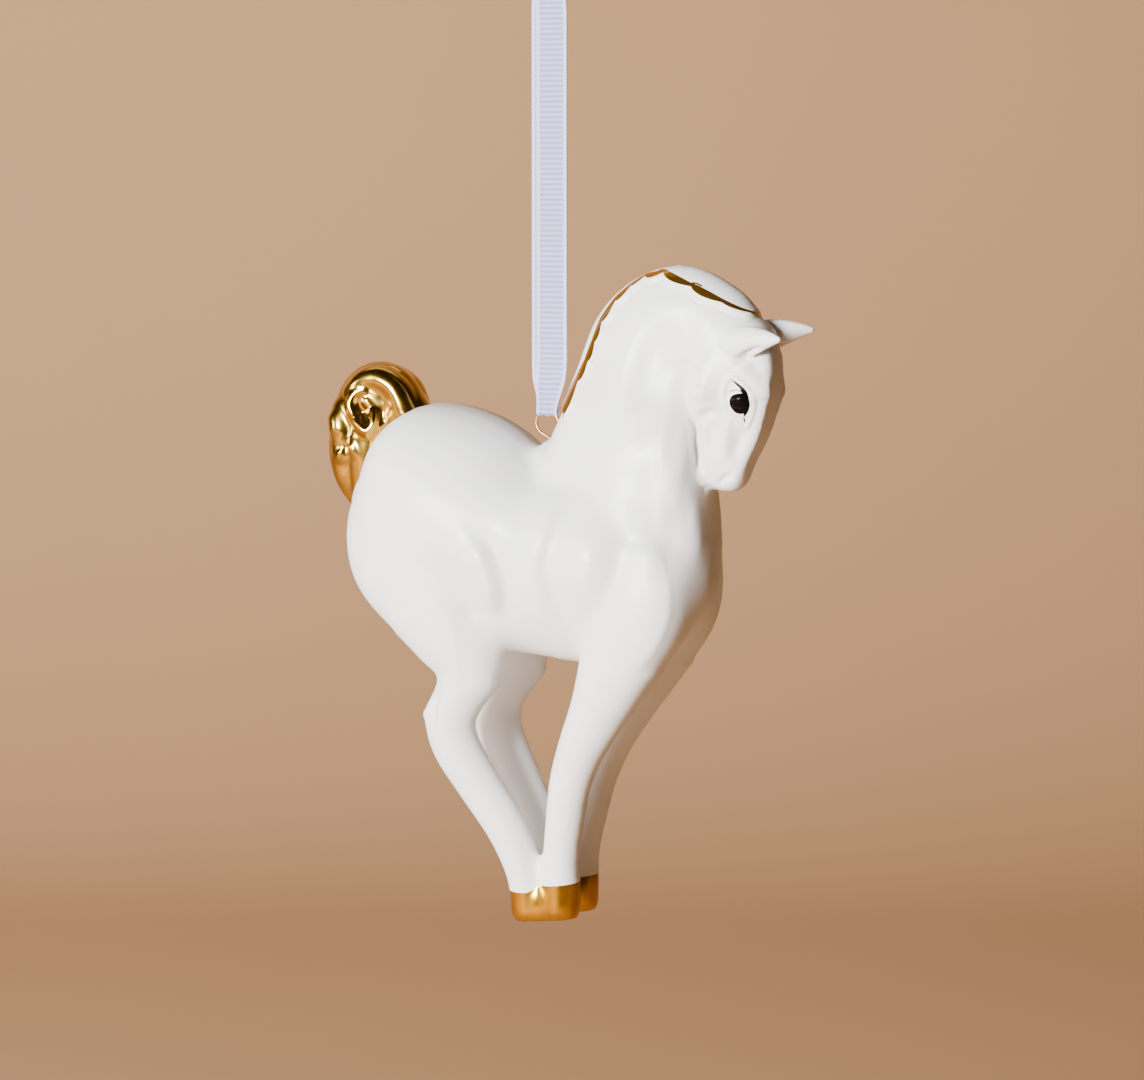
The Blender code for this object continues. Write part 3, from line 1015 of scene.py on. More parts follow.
@dataclass
class HorseBody:
    """The porcelain horse without its tail, with its gold and black.

    The tables from torso to ear hold sections, as add_form takes them.

    Attributes:
        ear_tilt: How much lower the near ear lies than its table for each mm out, and
            how much higher the far one.
        eased: Where the forms are smoothed once they are run together.
        strokes: What is worked into the surface.
        spacing: How fine the first surface is.
        easing: Rounds of smoothing over it.
        face_middle: Middle of the region round the head where the mesh is halved.
        face_radius: Half sizes of that region.
        face_easing: Rounds of smoothing there.
        mane_zone: How near the mane's edge the mesh is halved as well.
        paint_zone: How near it the mesh is halved once more.
        eye_patch: The same round each eye, outside the middle strip.
        middle_strip: Half the width of that strip.
        paint_easing: Rounds of smoothing after it.
        ear_root: Middle of each ear's joint with the head.
        ear_root_reach: How far from it the joint is smoothed.
        ear_root_floor: The height below which it isn't.
        ear_easing: Rounds of smoothing there.
        stroke_facing: The sideways share of the normal from which strokes act, and in full.
        eye_facing: The same for the eye.
        eye_floor: The height above which the eyes are.
        hind_band: How high the gold reaches at the back of the footing.
        fore_band: How high it reaches at the front.
        band_step: From which x to which x it changes.
        band_slope: How much it rises for each mm further forward.
        band_end: The x where it stops rising.
        sole_tilt: The slope of the soles, in degrees.
    """

    torso: Rows = (
        (-36.4, 0, 75.4, 6.6, 7.6, 0.00, 0.3), (-35.0, 0, 75.2, 11.8, 12.0, 0.00, 0.34),
        (-32.6, 0, 74.9, 15.8, 15.0, 0.00, 0.34), (-29.0, 0, 74.4, 18.8, 17.2, 0.00, 0.26),
        (-24.0, 0, 73.4, 20.6, 18.2, 0.00, 0.1), (-17.5, 0, 70.9, 20.9, 18.3, -0.04, 0.0),
        (-10.0, 0, 67.2, 18.9, 17.4, -0.08, 0.0), (-2.0, 0, 65.1, 17.3, 16.4, -0.10, 0.0),
        (8.0, 0, 65.2, 18.2, 15.8, -0.12, 0.0), (17.0, 0, 65.8, 17.4, 14.2, -0.08, 0.0),
        (25.2, 0, 66.6, 12.6, 9.4, 0.00, 0.3),
    )
    neck: Rows = (
        (13.4, 0, 64.0, 18.0, 10.8, 0.05, 0.4), (14.0, 0, 76.5, 16.8, 11.4, 0.10, 0.42),
        (15.6, 0, 88.0, 13.9, 10.4, 0.12, 0.4), (17.4, 0, 97.0, 12.0, 8.3, 0.10, 0.15),
        (20.5, 0, 103.4, 12.6, 7.3, 0.05, 0.0), (25.4, 0, 106.9, 11.9, 6.9, 0.00, 0.0),
        (30.6, 0, 106.7, 9.5, 6.5, 0.00, 0.0), (35.4, 0, 104.4, 7.4, 6.2, 0.00, 0.0),
    )
    head: Rows = (
        (36.0, 0, 106.4, 6.6, 6.2, 0.05, 0.3), (36.0, 0, 101.8, 7.4, 6.5, 0.16, 0.5),
        (35.7, 0, 96.6, 7.3, 6.0, 0.22, 0.58), (35.3, 0, 91.4, 6.1, 4.9, 0.2, 0.58),
        (33.9, 0, 86.6, 5.2, 4.2, 0.12, 0.5), (32.7, 0, 82.1, 4.9, 3.9, 0.05, 0.38),
    )
    foreleg: Rows = (
        (20.4, 6.0, 68.0, 9.4, 7.3, 0, 0.25), (19.8, 6.6, 58.0, 9.7, 7.5, 0, 0.25),
        (15.6, 6.9, 47.5, 7.1, 6.2, 0, 0.15), (11.8, 6.6, 39.5, 5.4, 5.1, 0, 0),
        (8.4, 6.4, 32.6, 4.4, 4.4, 0, 0), (6.0, 6.0, 26.2, 3.9, 3.9, 0, 0),
        (4.5, 5.2, 19.0, 3.6, 3.6, 0, 0), (3.4, 4.4, 12.0, 3.4, 3.5, 0, 0),
        (3.1, 4.0, 6.0, 3.7, 3.7, 0, 0), (3.0, 4.0, 1.6, 3.7, 3.7, 0, 0),
    )
    hind_leg: Rows = (
        (-25.2, 7.0, 74.4, 13.7, 10.0, 0, 0), (-22.8, 8.8, 65.4, 14.2, 9.2, 0, 0),
        (-16.6, 9.6, 54.0, 9.0, 7.3, 0, 0), (-12.2, 9.9, 46.8, 6.4, 5.6, 0, 0),
        (-14.2, 9.8, 41.6, 4.9, 4.7, 0, 0), (-16.5, 9.6, 36.6, 4.7, 4.3, 0, 0),
        (-15.6, 9.0, 31.4, 4.5, 4.1, 0, 0), (-11.8, 7.8, 24.8, 4.2, 3.9, 0, 0),
        (-6.8, 6.2, 16.6, 3.9, 3.7, 0, 0), (-4.2, 4.8, 9.4, 3.5, 3.6, 0, 0),
        (-3.4, 4.1, 4.5, 3.4, 3.7, 0, 0), (-3.2, 4.0, 0.8, 3.4, 3.7, 0, 0),
    )
    withers: Rows = (
        (-9.0, 0, 80.3, 6.5, 6.5, 0, 0), (-5.5, 0, 79.9, 6.7, 6.5, 0, 0),
        (-2.5, 0, 79.2, 6.7, 6.3, 0, 0), (0.0, 0, 79.8, 6.7, 6.0, 0, 0),
        (3.0, 0, 83.0, 6.3, 5.5, 0, 0),
    )
    stifle: Rows = (
        (-9.5, 8.6, 55.5, 4.5, 5.0, 0, 0), (-6.6, 8.8, 54.5, 3.6, 4.6, 0, 0),
        (-4.6, 9.0, 54.1, 2.4, 3.6, 0, 0),
    )
    hoof_joint: Rows = (
        (-0.3, 4.0, 4.6, 2.6, 3.4, 0, 0), (-0.2, 4.0, 2.6, 3.0, 3.5, 0, 0),
        (-0.1, 4.0, 0.6, 3.0, 3.5, 0, 0),
    )
    ear: Rows = (
        (32.6, 2.2, 104.4, 3.7, 2.4, 0, 0), (36.4, 4.3, 105.6, 3.3, 2.4, 0, 0),
        (39.6, 5.6, 106.5, 2.8, 2.1, 0, 0), (42.6, 6.7, 107.0, 2.0, 1.5, 0, 0),
        (45.0, 7.5, 107.2, 1.15, 0.9, 0, 0), (46.5, 8.0, 107.2, 0.5, 0.45, 0, 0),
    )
    ear_tilt: float = 0.07
    eased: tuple[Eased, ...] = (
        Eased((-36.0, 0.0, 72.0), (10.0, 30.0, 22.0), 60),
        Eased((29.0, 4.0, 58.0), (9.0, 8.0, 11.0), 60),
        Eased((-5.0, 10.0, 50.0), (7.0, 10.0, 6.5), 40),
        Eased((15.0, 12.0, 82.0), (10.0, 9.0, 11.0), 60),
    )
    strokes: tuple[Stroke, ...] = (
        Stroke(((-11.4, 71.4), (-6.9, 69.6), (-4.7, 66.1), (-4.0, 61.5), (-4.6, 55.6),
                (-4.8, 53.6)), 7.0, -1.1, Profile.STEP, 1.5),
        Stroke(((6.8, 50.4), (6.1, 57.3), (4.8, 63.7), (5.4, 70.0), (9.3, 81.3)), 5.5, 0.5,
               Profile.STEP, 1.7),
        Stroke(((14.0, 70.5), (13.2, 62.0)), 4.6, 0.7),
        Stroke(((-27.5, 62.0), (-22.0, 56.0)), 5.0, -0.3),
        Stroke(((27.4, 68.6), (24.4, 72.6), (21.6, 78.5), (19.6, 84.5)), 3.4, -0.45),
        Stroke(((23.0, 86.0), (25.4, 78.0), (27.4, 71.5)), 4.2, -0.9),
        Stroke(((29.4, 79.0), (28.6, 73.0), (27.4, 66.0)), 3.6, -0.7),
        Stroke(((27.6, 108.2), (23.6, 105.6), (21.8, 98.5), (22.4, 92.0)), 5.6, -1.0),
        Stroke(((-17.2, 42.5), (-18.2, 39.0), (-18.2, 35.0)), 1.8, -0.7),
        Stroke(((-20.4, 38.6), (-21.0, 36.6)), 2.4, 0.6),
        Stroke(((38.4, 97.0), (38.8, 95.0)), 3.8, 0.8),
        Stroke(((41.6, 98.2), (42.0, 96.0)), 2.2, 0.5),
        Stroke(((40.4, 102.9), (42.0, 100.8)), 2.4, -0.8),
        Stroke(((38.2, 102.8), (40.6, 103.8), (42.6, 104.8)), 1.3, -1.1),
        Stroke(((31.6, 98.6), (31.2, 95.6)), 3.6, 1.0),
        Stroke(((30.4, 92.4), (33.4, 93.6)), 1.5, -0.9),
        Stroke(((36.0, 92.4), (35.4, 89.6), (34.6, 85.4)), 1.6, 0.6),
        Stroke(((38.4, 90.6), (37.0, 86.4)), 1.5, -0.5),
        Stroke(((32.0, 90.6), (31.8, 86.4)), 1.8, -0.5),
        Stroke(((43.4, 104.6), (43.5, 102.0), (42.9, 98.5), (42.3, 95.7), (41.3, 92.2),
                (39.9, 88.3), (37.8, 84.3), (36.2, 81.4)), 1.2, 0.3),
        Stroke(((28.2, 94.0), (28.8, 90.3), (29.4, 85.0), (29.6, 81.2)), 2.6, -0.8,
               Profile.STEP, 0.5),
        Stroke(((34.0, 81.2), (34.9, 82.0), (35.6, 82.4)), 0.9, -0.8),
    )
    mane: PaintedMane = field(default_factory=PaintedMane)
    eye: PaintedEye = field(default_factory=PaintedEye)
    spacing: float = 0.75
    easing: int = 10
    face_middle: tuple[float, float, float] = (35.5, 0.0, 95.0)
    face_radius: tuple[float, float, float] = (12.5, 11.0, 19.0)
    face_easing: int = 3
    mane_zone: float = 2.4
    paint_zone: float = 1.7
    eye_patch: float = 5.6
    middle_strip: float = 2.0
    paint_easing: int = 2
    ear_root: tuple[float, float, float] = (34.6, 4.2, 105.6)
    ear_root_reach: float = 4.6
    ear_root_floor: float = 104.7
    ear_easing: int = 12
    stroke_facing: tuple[float, float] = (0.1, 0.5)
    eye_facing: tuple[float, float] = (0.25, 0.5)
    eye_floor: float = 85.0
    hind_band: float = 5.1
    fore_band: float = 6.5
    band_step: tuple[float, float] = (-2.6, 0.6)
    band_slope: float = 0.12
    band_end: float = 9.0
    sole_tilt: float = 6.0

    def masses(self) -> bpy.types.Object:
        """Models the large forms and runs them together.

        Returns:
            The body as one closed piece, in the tables' millimetres.
        """
        forms = [add_form("horse_porcelain", self.torso), add_form("neck", self.neck),
                 add_form("head", self.head)]
        forms.append(add_form("withers", self.withers))
        for side in Side:
            forms.append(add_form("foreleg", self.foreleg, side))
            forms.append(add_form("hind_leg", self.hind_leg, side))
            forms.append(add_form("stifle", self.stifle, side))
            forms.append(add_form("hoof_joint", self.hoof_joint, side))
        body = join_pieces(forms)
        run_together(body, self.spacing, self.easing)
        places = read_points(body.data)
        places[:, 1] = np.abs(places[:, 1])
        for spot in self.eased:
            near = (np.abs(places - spot.middle) < spot.reach).all(axis=1)
            ease_points(body, near, spot.rounds)
        return body

    def in_face(self, places: np.ndarray) -> np.ndarray:
        """Finds the head and the mane's edge.

        Args:
            places: The vertices' places.

        Returns:
            True for each vertex there.
        """
        away = (places - self.face_middle) / self.face_radius
        near_mane = self.mane.below(places[:, (0, 2)]).distance < self.mane_zone
        return ((away**2).sum(axis=1) < 1) | near_mane

    def in_paint(self, places: np.ndarray) -> np.ndarray:
        """Finds what is close to the gold's and the eye's own edges.

        Args:
            places: The vertices' places.

        Returns:
            True for each vertex there.
        """
        seen = places[:, (0, 2)]
        near_mane = self.mane.below(seen).distance < self.paint_zone
        from_eye = np.hypot(seen[:, 0] - self.eye.iris[0], seen[:, 1] - self.eye.iris[1])
        near_eye = (from_eye < self.eye_patch) & (np.abs(places[:, 1]) > self.middle_strip)
        return near_mane | near_eye

    def add_ears(self, body: bpy.types.Object) -> None:
        """Sets both ears into the head and eases the joint.

        Args:
            body: The horse.
        """
        for side in Side:
            leaning = [(x, y, z + side.value * self.ear_tilt * y, *rest)
                       for x, y, z, *rest in self.ear]
            ear = add_form("ear", leaning, side, around=40, steps=12)
            apply_modifier(body, "BOOLEAN", operation="UNION", object=ear, solver="EXACT")
            bpy.data.objects.remove(ear)
        places = read_points(body.data)
        places[:, 1] = np.abs(places[:, 1])
        root = np.linalg.norm(places - self.ear_root, axis=1) < self.ear_root_reach
        root &= places[:, 2] > self.ear_root_floor
        ease_points(body, root, self.ear_easing)

    def work(self, body: bpy.types.Object) -> None:
        """Works the strokes, the mane and the eyes into the surface, and keeps the paint.

        Args:
            body: The horse.
        """
        mesh = body.data
        work_strokes(mesh, self.strokes, self.stroke_facing)
        places = read_points(mesh)
        normals = read_points(mesh, "normal")
        seen = places[:, (0, 2)]
        eye_side = smooth_step(*self.eye_facing, np.abs(normals[:, 1]))
        eye_side *= places[:, 2] > self.eye_floor
        rise = self.mane.heights(seen) + self.eye.heights(seen) * eye_side
        forward = smooth_step(*self.band_step, seen[:, 0])
        hoof_line = self.hind_band + (self.fore_band - self.hind_band) * forward
        hoof_line += self.band_slope * np.clip(seen[:, 0], 0, self.band_end)
        gold = np.maximum(self.mane.gold(seen), hoof_line - seen[:, 1])
        ink = np.where(eye_side > 0, self.eye.ink(seen), OUTSIDE)
        places += normals * rise[:, None]
        write_points(mesh, places)
        store(mesh, "gold", gold)
        store(mesh, "ink", ink)

    def cut_soles(self, body: bpy.types.Object) -> None:
        """Cuts the soles flat and leaves them bare of glaze.

        Args:
            body: The horse, dressed in its glaze and then its biscuit.
        """
        tilt = math.radians(self.sole_tilt)
        select_points(body, np.ones(len(body.data.vertices), bool))
        bpy.ops.mesh.bisect(plane_co=(0, 0, 0), plane_no=(-math.sin(tilt), 0, math.cos(tilt)),
                            use_fill=True, clear_inner=True)
        body.active_material_index = 1
        bpy.ops.object.material_slot_assign()
        bpy.ops.object.mode_set(mode="OBJECT")

    def build(self, glaze: bpy.types.Material, biscuit: bpy.types.Material) -> bpy.types.Object:
        """Builds the horse in its place.

        Args:
            glaze: The painted and glazed porcelain.
            biscuit: The bare soles.

        Returns:
            The finished piece.
        """
        body = self.masses()
        refine(body, self.in_face(read_points(body.data)), self.face_easing)
        self.add_ears(body)
        refine(body, self.in_paint(read_points(body.data)), self.paint_easing)
        self.work(body)
        dress(body, glaze, biscuit)
        self.cut_soles(body)
        place_on_row(body)
        shade_round(body)
        return body


@dataclass
class GoldTail:
    """The tied tail, gilded all over, with its locks rolled and looped on both sides.

    Attributes:
        tail: The sections of its outer mass, as add_form takes them.
        heart: The sections of what fills it.
        locks: What is worked into it.
        lock_facing: The sideways share of the normal from which locks act, and in full.
        spacing: How fine its surface is.
        easing: Rounds of smoothing before the locks.
        polish: Rounds after them.
    """

    tail: Rows = (
        (-27.4, 0, 87.6, 4.2, 4.6, 0, 0), (-30.6, 0, 91.6, 4.8, 4.9, 0, 0),
        (-34.4, 0, 95.2, 5.5, 5.1, 0, 0), (-38.0, 0, 94.2, 5.6, 5.3, 0, 0),
        (-40.6, 0, 89.2, 4.9, 5.1, 0, 0), (-41.6, 0, 83.6, 4.5, 4.8, 0, 0),
        (-41.4, 0, 78.6, 3.2, 4.0, 0, 0), (-40.6, 0, 74.8, 1.5, 2.2, 0, 0),
    )
    heart: Rows = (
        (-33.0, 0, 92.0, 4.0, 4.6, 0, 0), (-36.6, 0, 88.6, 5.0, 5.6, 0, 0),
        (-37.6, 0, 83.0, 4.8, 5.4, 0, 0), (-38.2, 0, 77.6, 3.4, 4.4, 0, 0),
    )
    locks: tuple[Stroke, ...] = (
        Stroke(((-39.6, 95.4), (-37.4, 97.6), (-35.0, 98.3), (-33.0, 97.8), (-31.2, 96.7),
                (-30.0, 95.4), (-29.2, 94.0), (-28.4, 92.0)), 2.0, 1.3, Profile.ROLL),
        Stroke(((-33.2, 95.2), (-32.4, 92.8), (-33.2, 90.8)), 1.8, -0.6),
        Stroke(((-36.6, 95.9), (-38.2, 95.1), (-39.1, 93.2), (-38.4, 91.1), (-37.0, 89.2),
                (-35.7, 88.2), (-34.5, 89.9), (-34.8, 92.0), (-36.0, 93.6)), 1.15, 1.4,
               Profile.ROLL),
        Stroke(((-43.8, 91.9), (-42.8, 89.4), (-41.9, 86.9)), 2.3, 1.1, Profile.ROLL),
        Stroke(((-42.2, 83.9), (-41.2, 83.5)), 1.9, 0.8, Profile.ROLL),
        Stroke(((-39.2, 86.2), (-38.6, 83.8)), 1.1, 0.7, Profile.ROLL),
        Stroke(((-34.7, 87.7), (-32.7, 89.8)), 0.9, 0.8, Profile.ROLL),
    )
    lock_facing: tuple[float, float] = (0.05, 0.45)
    spacing: float = 0.3
    easing: int = 6
    polish: int = 9

    def build(self, gold: bpy.types.Material) -> bpy.types.Object:
        """Builds the tail in its place.

        Args:
            gold: Its finish.

        Returns:
            The finished piece.
        """
        tail = join_pieces([add_form("horse_tail", self.tail), add_form("heart", self.heart)])
        run_together(tail, self.spacing, self.easing)
        work_strokes(tail.data, self.locks, self.lock_facing)
        apply_modifier(tail, "SMOOTH", factor=0.5, iterations=self.polish)
        dress(tail, gold)
        place_on_row(tail)
        shade_round(tail)
        return tail


@dataclass
class WireEye:
    """The bent copper wire set in behind the withers, which the ribbon runs through.

    Attributes:
        radius: Half the wire's thickness.
        line: x, y, z of its middle, from one buried end to the other.
    """

    radius: float = 0.24
    line: Rows = (
        (0.3, 0, 84.0), (0.9, 0, 87.4), (0.85, 0, 90.1), (0.45, 0, 91.4), (-0.3, 0, 92.1),
        (-1.5, 0, 92.2), (-2.6, 0, 92.1), (-3.4, 0, 91.5), (-3.72, 0, 90.5),
        (-3.4, 0, 89.4), (-2.6, 0, 88.55), (-1.5, 0, 87.95), (-0.5, 0, 87.0), (-0.3, 0, 84.6),
    )

    def build(self, copper: bpy.types.Material) -> bpy.types.Object:
        """Builds the wire in its place.

        Args:
            copper: Its finish.

        Returns:
            The finished piece.
        """
        rows = [(*point, self.radius, self.radius, 0, 0) for point in self.line]
        wire = add_form("wire_loop", rows, around=20, steps=8)
        dress(wire, copper)
        place_on_row(wire)
        shade_round(wire)
        return wire


# The ribbon


@dataclass
class Ribbon:
    """The narrow ribbon: one strip folded through the wire eye, both runs up to the knot.

    Sizes are in millimetres and heights from the hanging point.

    Attributes:
        width: Its full width.
        thickness: Its thickness.
        fold_z: The inside of the fold, which rests on the eye's top bar.
        fold_radius: The fold's radius.
        top: Where both runs end, inside the knot.
        gathered: Its width where the eye gathers it.
        gather_length: Over what length it opens to its full width.
        pleats: How many half waves the gather has across the ribbon's half width.
        pleat_depth: How deep they are.
        pleat_left: The share of them that stays in the fold itself.
        knot_width: Its width where the knot draws it in.
        drawn_length: Over what length the knot does so.
        rib_pitch: How far apart the ribs are.
        rib_height: How far they stand out.
        selvedge: The width of the smooth edge.
        selvedge_lift: How far that edge stands out.
        selvedge_blend: Over what share of the half width the ribs end there.
        back_shift: How far the back run lies towards the tail.
        front_shift: How far the front run lies towards the head.
        shift_from: Over what heights above the fold the runs part.
        shift_back: Below the top, the length over which they meet again.
        samples_per_rib: Mesh rows for each rib.
        across: Mesh columns.
        path_points: Points on the ribbon's route. Not used.
    """

    width: float = 6.0
    thickness: float = 0.3
    fold_z: float = -85.1
    fold_radius: float = 0.72
    top: float = 0.8
    gathered: float = 4.0
    gather_length: float = 6.5
    pleats: float = 2.6
    pleat_depth: float = 0.35
    pleat_left: float = 0.3
    knot_width: float = 4.8
    drawn_length: float = 5.0
    rib_pitch: float = 0.92
    rib_height: float = 0.1
    selvedge: float = 0.8
    selvedge_lift: float = 0.05
    selvedge_blend: float = 0.04
    back_shift: float = -0.35
    front_shift: float = 1.3
    shift_from: tuple[float, float] = (-4.0, 10.0)
    shift_back: float = 16.0
    samples_per_rib: int = 6
    across: int = 28
    path_points: int = 24

    def build(self, weave: bpy.types.Material) -> bpy.types.Object:
        """Builds the ribbon in its place.

        Args:
            weave: Its finish.

        Returns:
            The finished piece.
        """
        run = self.top - self.fold_z
        turn = math.pi * self.fold_radius / 2
        half = run + turn
        stations = 2 * round(half / self.rib_pitch * self.samples_per_rib)
        deselect_all()
        bpy.ops.mesh.primitive_grid_add(x_subdivisions=self.across, y_subdivisions=stations,
                                        size=2)
        ribbon = name_new("ribbon_strip")
        grid = read_points(ribbon.data)
        share, along = grid[:, 0].copy(), grid[:, 1] * half
        bent = np.abs(along) < turn
        angle = along / self.fold_radius
        y = np.where(bent, self.fold_radius * np.sin(angle), np.sign(along) * self.fold_radius)
        z = np.where(bent, -self.fold_radius * np.cos(angle), np.abs(along) - turn)
        opened = smooth_step(0, self.gather_length, z)
        drawn_in = smooth_step(run - self.drawn_length, run, z)
        wide = self.gathered + (self.width - self.gathered) * opened
        wide = wide - (self.width - self.knot_width) * drawn_in
        shift = np.where(along > 0, self.back_shift, self.front_shift)
        shift = shift * smooth_step(*self.shift_from, z)
        shift = shift * (1 - smooth_step(run - self.shift_back, run, z))
        pleat = (1 - opened) * self.pleat_depth * np.cos(share * self.pleats * math.pi)
        rib = np.cos(2 * math.pi * along / self.rib_pitch)
        ribs_end = 1 - 2 * self.selvedge / self.width
        inside = 1 - smooth_step(ribs_end - self.selvedge_blend,
                                 ribs_end + self.selvedge_blend, np.abs(share))
        puff = self.rib_height * rib * inside + self.selvedge_lift * (1 - inside)
        normal_y = np.where(bent, np.sin(angle), np.sign(along))
        normal_z = np.where(bent, -np.cos(angle), 0.0)
        lift = puff + pleat * opened.clip(self.pleat_left, 1)
        points = np.column_stack([share * wide / 2 + shift, y + normal_y * lift,
                                  z + self.fold_z + normal_z * np.clip(lift, 0, 1)])
        write_points(ribbon.data, points * MM)
        # rib also sets the painted shade in the valleys between the ribs
        store(ribbon.data, "rib", 0.5 + 0.5 * rib)
        store(ribbon.data, "across", share)
        apply_modifier(ribbon, "SOLIDIFY", thickness=self.thickness * MM, offset=0,
                       use_even_offset=True)
        dress(ribbon, weave)
        shade_round(ribbon)
        return ribbon


@dataclass
class RibbonKnot:
    """The overhand knot that closes the ribbon's loop, with its two loose ends.

    Attributes:
        wraps: For each band round the knot its lean in degrees, half its length and half
            its depth, its width and the height of its middle.
        core: Half sizes of the ribbon's mass inside the bands, and its middle's height.
        barrel: How much narrower a band is at its edges, as a share.
        ribs_end: The shares of a strip's half width between which its ribs end.
        end_length: How far each end reaches from the knot's middle.
        lean: How far each end leans from upright, in degrees.
        slant: How much longer an end's outer edge is than its inner one.
        pinched: An end's width where the knot pinches it.
        pinch: Between which lengths it opens.
        cup: How far its edges curl there.
        cup_end: Between which lengths it flattens.
        apart: How far each end lies from the middle plane where it leaves the knot.
        spread: How much further it bends out.
        spread_over: Between which lengths it does.
        ribbon: The ribbon that is tied.
    """

    wraps: Rows = (
        (55.0, 3.5, 2.55, 3.4, 3.7), (8.0, 4.5, 2.8, 4.4, 2.7), (-36.0, 4.3, 3.0, 3.4, 3.9),
    )
    core: tuple[float, ...] = (3.9, 2.4, 3.6, 3.4)
    barrel: float = 0.16
    ribs_end: tuple[float, float] = (0.7, 0.78)
    end_length: float = 17.2
    lean: float = 24.0
    slant: float = 1.6
    pinched: float = 3.4
    pinch: tuple[float, float] = (3.0, 9.0)
    cup: float = 0.35
    cup_end: tuple[float, float] = (5.0, 14.0)
    apart: float = 0.45
    spread: float = 0.9
    spread_over: tuple[float, float] = (5.0, 16.0)
    ribbon: Ribbon = field(default_factory=Ribbon)

    def weave_strip(self, name: str, points: np.ndarray, out: np.ndarray, along: np.ndarray,
                    share: np.ndarray) -> bpy.types.Object:
        """Finishes the new grid as a strip of ribbon, with its ribs and its thickness.

        Args:
            name: The strip's name.
            points: Where its vertices go before it has ribs.
            out: The way the ribs stand out at each vertex.
            along: How far along the strip each vertex is.
            share: How far across it each vertex is, -1 and 1 at the edges.

        Returns:
            The strip.
        """
        strip = name_new(name)
        rib = np.cos(2 * math.pi * along / self.ribbon.rib_pitch)
        inside = 1 - smooth_step(*self.ribs_end, np.abs(share))
        lift = self.ribbon.rib_height * rib * inside
        write_points(strip.data, points + out * lift[:, None])
        # rib also sets the painted shade in the valleys between the ribs
        store(strip.data, "rib", 0.5 + 0.5 * rib)
        store(strip.data, "across", share)
        apply_modifier(strip, "SOLIDIFY", thickness=self.ribbon.thickness, offset=0)
        return strip

    def wrap(self, lean: float, length: float, depth: float, width: float,
             middle: float) -> bpy.types.Object:
        """One band round the knot, a little barrelled.

        Args:
            lean: How far it leans, in degrees.
            length: Half its length.
            depth: Half its depth.
            width: Its width.
            middle: The height of its middle.

        Returns:
            The band.
        """
        deselect_all()
        bpy.ops.mesh.primitive_grid_add(x_subdivisions=180, y_subdivisions=14, size=2)
        grid = read_points(bpy.context.active_object.data)
        angle, share = grid[:, 0] * math.pi + math.pi / 2, grid[:, 1]
        swell = 1 - self.barrel * share**2
        ring = np.column_stack([np.cos(angle), np.sin(angle), np.zeros(len(angle))])
        flat = ring * (length, depth, 0) * swell[:, None]
        flat[:, 2] = share * width / 2
        turn = np.array(Matrix.Rotation(math.radians(lean), 3, "Y"))
        points = flat @ turn.T + (0, 0, middle)
        return self.weave_strip("knot_wrap", points, ring @ turn.T, angle * length, share)

    def end(self, side: Side) -> bpy.types.Object:
        """One loose end, opening out of the knot to a slanted cut.

        Args:
            side: Which of the two it is.

        Returns:
            The end.
        """
        deselect_all()
        bpy.ops.mesh.primitive_grid_add(x_subdivisions=16, y_subdivisions=110, size=2)
        grid = read_points(bpy.context.active_object.data)
        share = grid[:, 0]
        outer = (1 + side.value * share) / 2
        along = (grid[:, 1] + 1) / 2 * (self.end_length - self.slant * (1 - outer))
        opened = smooth_step(*self.pinch, along)
        wide = self.pinched + (self.ribbon.width - self.pinched) * opened
        cupped = self.cup * share**2 * (1 - smooth_step(*self.cup_end, along))
        bent_out = self.spread * smooth_step(*self.spread_over, along)
        y = side.value * (self.apart + bent_out + cupped)
        turn = np.array(Matrix.Rotation(math.radians(side.value * self.lean), 3, "Y"))
        flat = np.column_stack([share * wide / 2, y, along])
        out = np.tile((0.0, 1.0, 0.0), (len(flat), 1))
        points = flat @ turn.T + (0, 0, self.core[3])
        return self.weave_strip("knot_end", points, out, along, share)

    def build(self, weave: bpy.types.Material) -> bpy.types.Object:
        """Builds the knot in its place.

        Args:
            weave: Its finish.

        Returns:
            The finished piece.
        """
        deselect_all()
        bpy.ops.mesh.primitive_uv_sphere_add(segments=32, ring_count=16, radius=1)
        core = name_new("knot")
        write_points(core.data, read_points(core.data) * self.core[:3] + (0, 0, self.core[3]))
        # rib 0 gives the core the valleys' painted shade colour all over, a dark mass in the
        # knot's shade
        for name in ("rib", "across"):
            store(core.data, name, np.zeros(len(core.data.vertices)))
        strips = [self.wrap(*row) for row in self.wraps] + [self.end(side) for side in Side]
        knot = join_pieces([core, *strips])
        write_points(knot.data, read_points(knot.data) * MM)
        dress(knot, weave)
        shade_round(knot)
        return knot


# The studio


@dataclass(frozen=True)
class SoftLight:
    """One soft square light, aimed at the horse unless a target is given."""

    name: str
    place: tuple[float, float, float]
    size: float
    watts: float
    colour: tuple[float, float, float]
    target: tuple[float, float, float] = (0.0, 0.0, -0.12)


